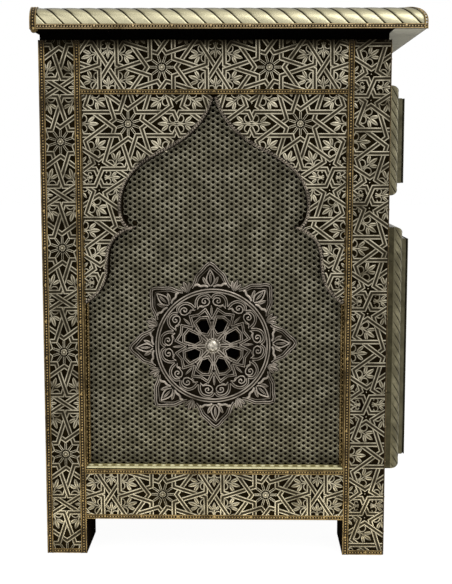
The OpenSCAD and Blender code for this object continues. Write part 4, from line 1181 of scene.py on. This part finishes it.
def raised_field(node, body):
    """Strapwork with a rim on the raised field of the drawer or the door."""
    (x0, y0, z0), (x1, _, z1) = BOX[node]
    a0, a1, b0, b1 = region = (x0 + 0.5, x1 - 0.5, z0 + 0.5, z1 - 0.5)
    parts = [(((x0 + x1) / 2, (z0 + z1) / 2), region, body == "drawer", 1.0)]
    sheet_piece(f"{node}_strapwork", front_face(y0), parts, 0.8, FIELD, "field_metal", body)
    ground = Relief()
    ground.flat(*region, 0.05, 0.0)
    ground.piece(f"{node}_ground", GROUND, "field_metal", front_face(y0, True), body)
    rim = Relief()
    rim.band([(a0 + 1.2, b0 + 1.2), (a1 - 1.2, b0 + 1.2), (a1 - 1.2, b1 - 1.2), (a0 + 1.2, b1 - 1.2)],
             [(-1.5, 0, 0.1), (-1.3, 1.1, 0.5), (1.1, 1.1, 0.6), (1.5, 0, 0.1)], closed=True, step=10)
    rim.piece(f"{node}_rim", FIELD, "field_metal", front_face(y0), body)


def clad_front():
    front_sheets()
    hinge_screws()
    front_strips()
    raised_field("drawer_field", "drawer")
    raised_field("door_field", "door")
    roped_frame("drawer_moulding", "drawer")
    roped_frame("door_moulding", "door")


def top_strips():
    """The beaded strips under the top's edge."""
    x, y = -BOX["top_strips"][0][0], BOX["top_strips"][0][1]
    r = Relief()
    beaded_strip(r, y + 1, BOX["top_strips"][1][1] - STRIP, Z_NECK, Z_NECK + STRIP_NARROW)
    for side in SIDES:
        r.piece(f"top_{side}_beads", TOP_BRASS, "brass_strip", side_face(side, x))
    r = Relief()
    beaded_strip(r, -x + 1, x - 1, Z_NECK, Z_NECK + STRIP_NARROW)
    r.piece("top_front_beads", TOP_BRASS, "brass_strip", front_face(y))


def clad_top():
    (x0, y0, _), (x1, y1, _) = BOX["top_sheet"]
    parts = [((0, (y0 + y1) / 2), (x0 + 0.5, x1 - 0.5, y0 + 0.5, y1 - 0.5), False, 1.0)]
    sheet_piece("top_strapwork", top_face(Z_TOP), parts, 0.7, TOP_SHEET, "embossed_metal")
    top_edges()
    undersides()
    for side in SIDES:
        edge_end(side)
        mitre_beads(side)
    top_strips()


# Camera, lights and floor


def add_camera():
    data = bpy.data.cameras.new("camera")
    data.lens, data.sensor_width = 69.47, 36
    data.clip_start, data.clip_end = 0.05, 50
    cam = put("camera", data)
    yaw, pitch, roll = (math.radians(v) for v in (1.06, 6.84, 0.02))
    forward = Vector((math.cos(pitch) * math.cos(yaw), math.cos(pitch) * math.sin(yaw), -math.sin(pitch)))
    right = forward.cross(Vector((0, 0, 1))).normalized()
    up = right.cross(forward)
    right, up = right * math.cos(roll) + up * math.sin(roll), up * math.cos(roll) - right * math.sin(roll)
    axes = Matrix((right, up, -forward)).transposed().to_4x4()
    cam.matrix_world = Matrix.Translation((-1.4477, -0.0132, 0.4448)) @ axes
    bpy.context.scene.camera = cam


def add_lamp(name, location, target, size, power, colour=(1, 1, 1)):
    data = bpy.data.lights.new(name, "AREA")
    data.shape, data.size, data.size_y = "RECTANGLE", *size
    data.energy, data.color = power, colour
    lamp = put(name, data)
    lamp.location = location
    lamp.rotation_mode = "QUATERNION"
    lamp.rotation_quaternion = (Vector(target) - Vector(location)).to_track_quat("-Z", "Y")
    return lamp


def seen_directly(tree):
    """1 for camera, mirror and glass rays, 0 for the rays that light the object."""
    path = add_node(tree, "LightPath")
    either = maths(tree, "MAXIMUM", path["Is Camera Ray"], path["Is Glossy Ray"])
    return maths(tree, "MAXIMUM", either, path["Is Transmission Ray"])


def mix_shaders(tree, fac, first, second):
    return add_node(tree, "MixShader", {0: fac, 1: first, 2: second})[0]


def add_world():
    """Plain light all round, and white for the rays that see the background."""
    world = bpy.data.worlds.new("world")
    bpy.context.scene.world = world
    world.use_nodes = True
    tree = world.node_tree
    tree.nodes.clear()
    shades = [add_node(tree, "Background", {"Color": (1, 1, 1, 1), "Strength": v})[0] for v in (0.3, 1.0)]
    add_node(tree, "OutputWorld", {0: mix_shaders(tree, seen_directly(tree), *shades)})


def add_floor():
    """A pale floor that keeps the object's shadow."""
    me = bpy.data.meshes.new("floor")
    me.from_pydata([(x, y, -0.0005) for x, y in ((-9, -9), (9, -9), (9, 9), (-9, 9))], [], [(0, 1, 2, 3)])
    floor = put("floor", me)
    mat, tree, shader = principled("floor", 0.8)
    feed(tree, shader, {"Base Color": (0.8, 0.8, 0.8, 1)})
    glow = add_node(tree, "Emission", {"Strength": 1.12})[0]
    mixed = mix_shaders(tree, maths(tree, "MULTIPLY", seen_directly(tree), 0.86), shader.outputs[0], glow)
    feed(tree, tree.nodes["Material Output"], {"Surface": mixed})
    me.materials.append(mat)


add_camera()
add_world()
add_floor()
add_lamp("key", (-1.7, -0.9, 1.9), (0, 0, 0.35), (1.5, 1.5), 27)
add_lamp("fill", (-1.9, 1.3, 0.9), (0, 0, 0.3), (1.4, 1.8), 9)
add_lamp("front", (0.6, -2.2, 1.2), (0, 0, 0.3), (1.6, 1.6), 16)
add_lamp("overhead", (0, 0, 2.4), (0, 0, 0), (2.0, 2.0), 24)
low = add_lamp("low", (-0.32, 0.02, 0.014), (-0.22, 0.02, 0.014), (0.55, 0.02), 0.2, (1, 0.92, 0.7))
low.visible_camera = False
clad()
clad_sides()
clad_front()
clad_back()
clad_top()

bpy.context.scene.view_settings.view_transform = "Standard"
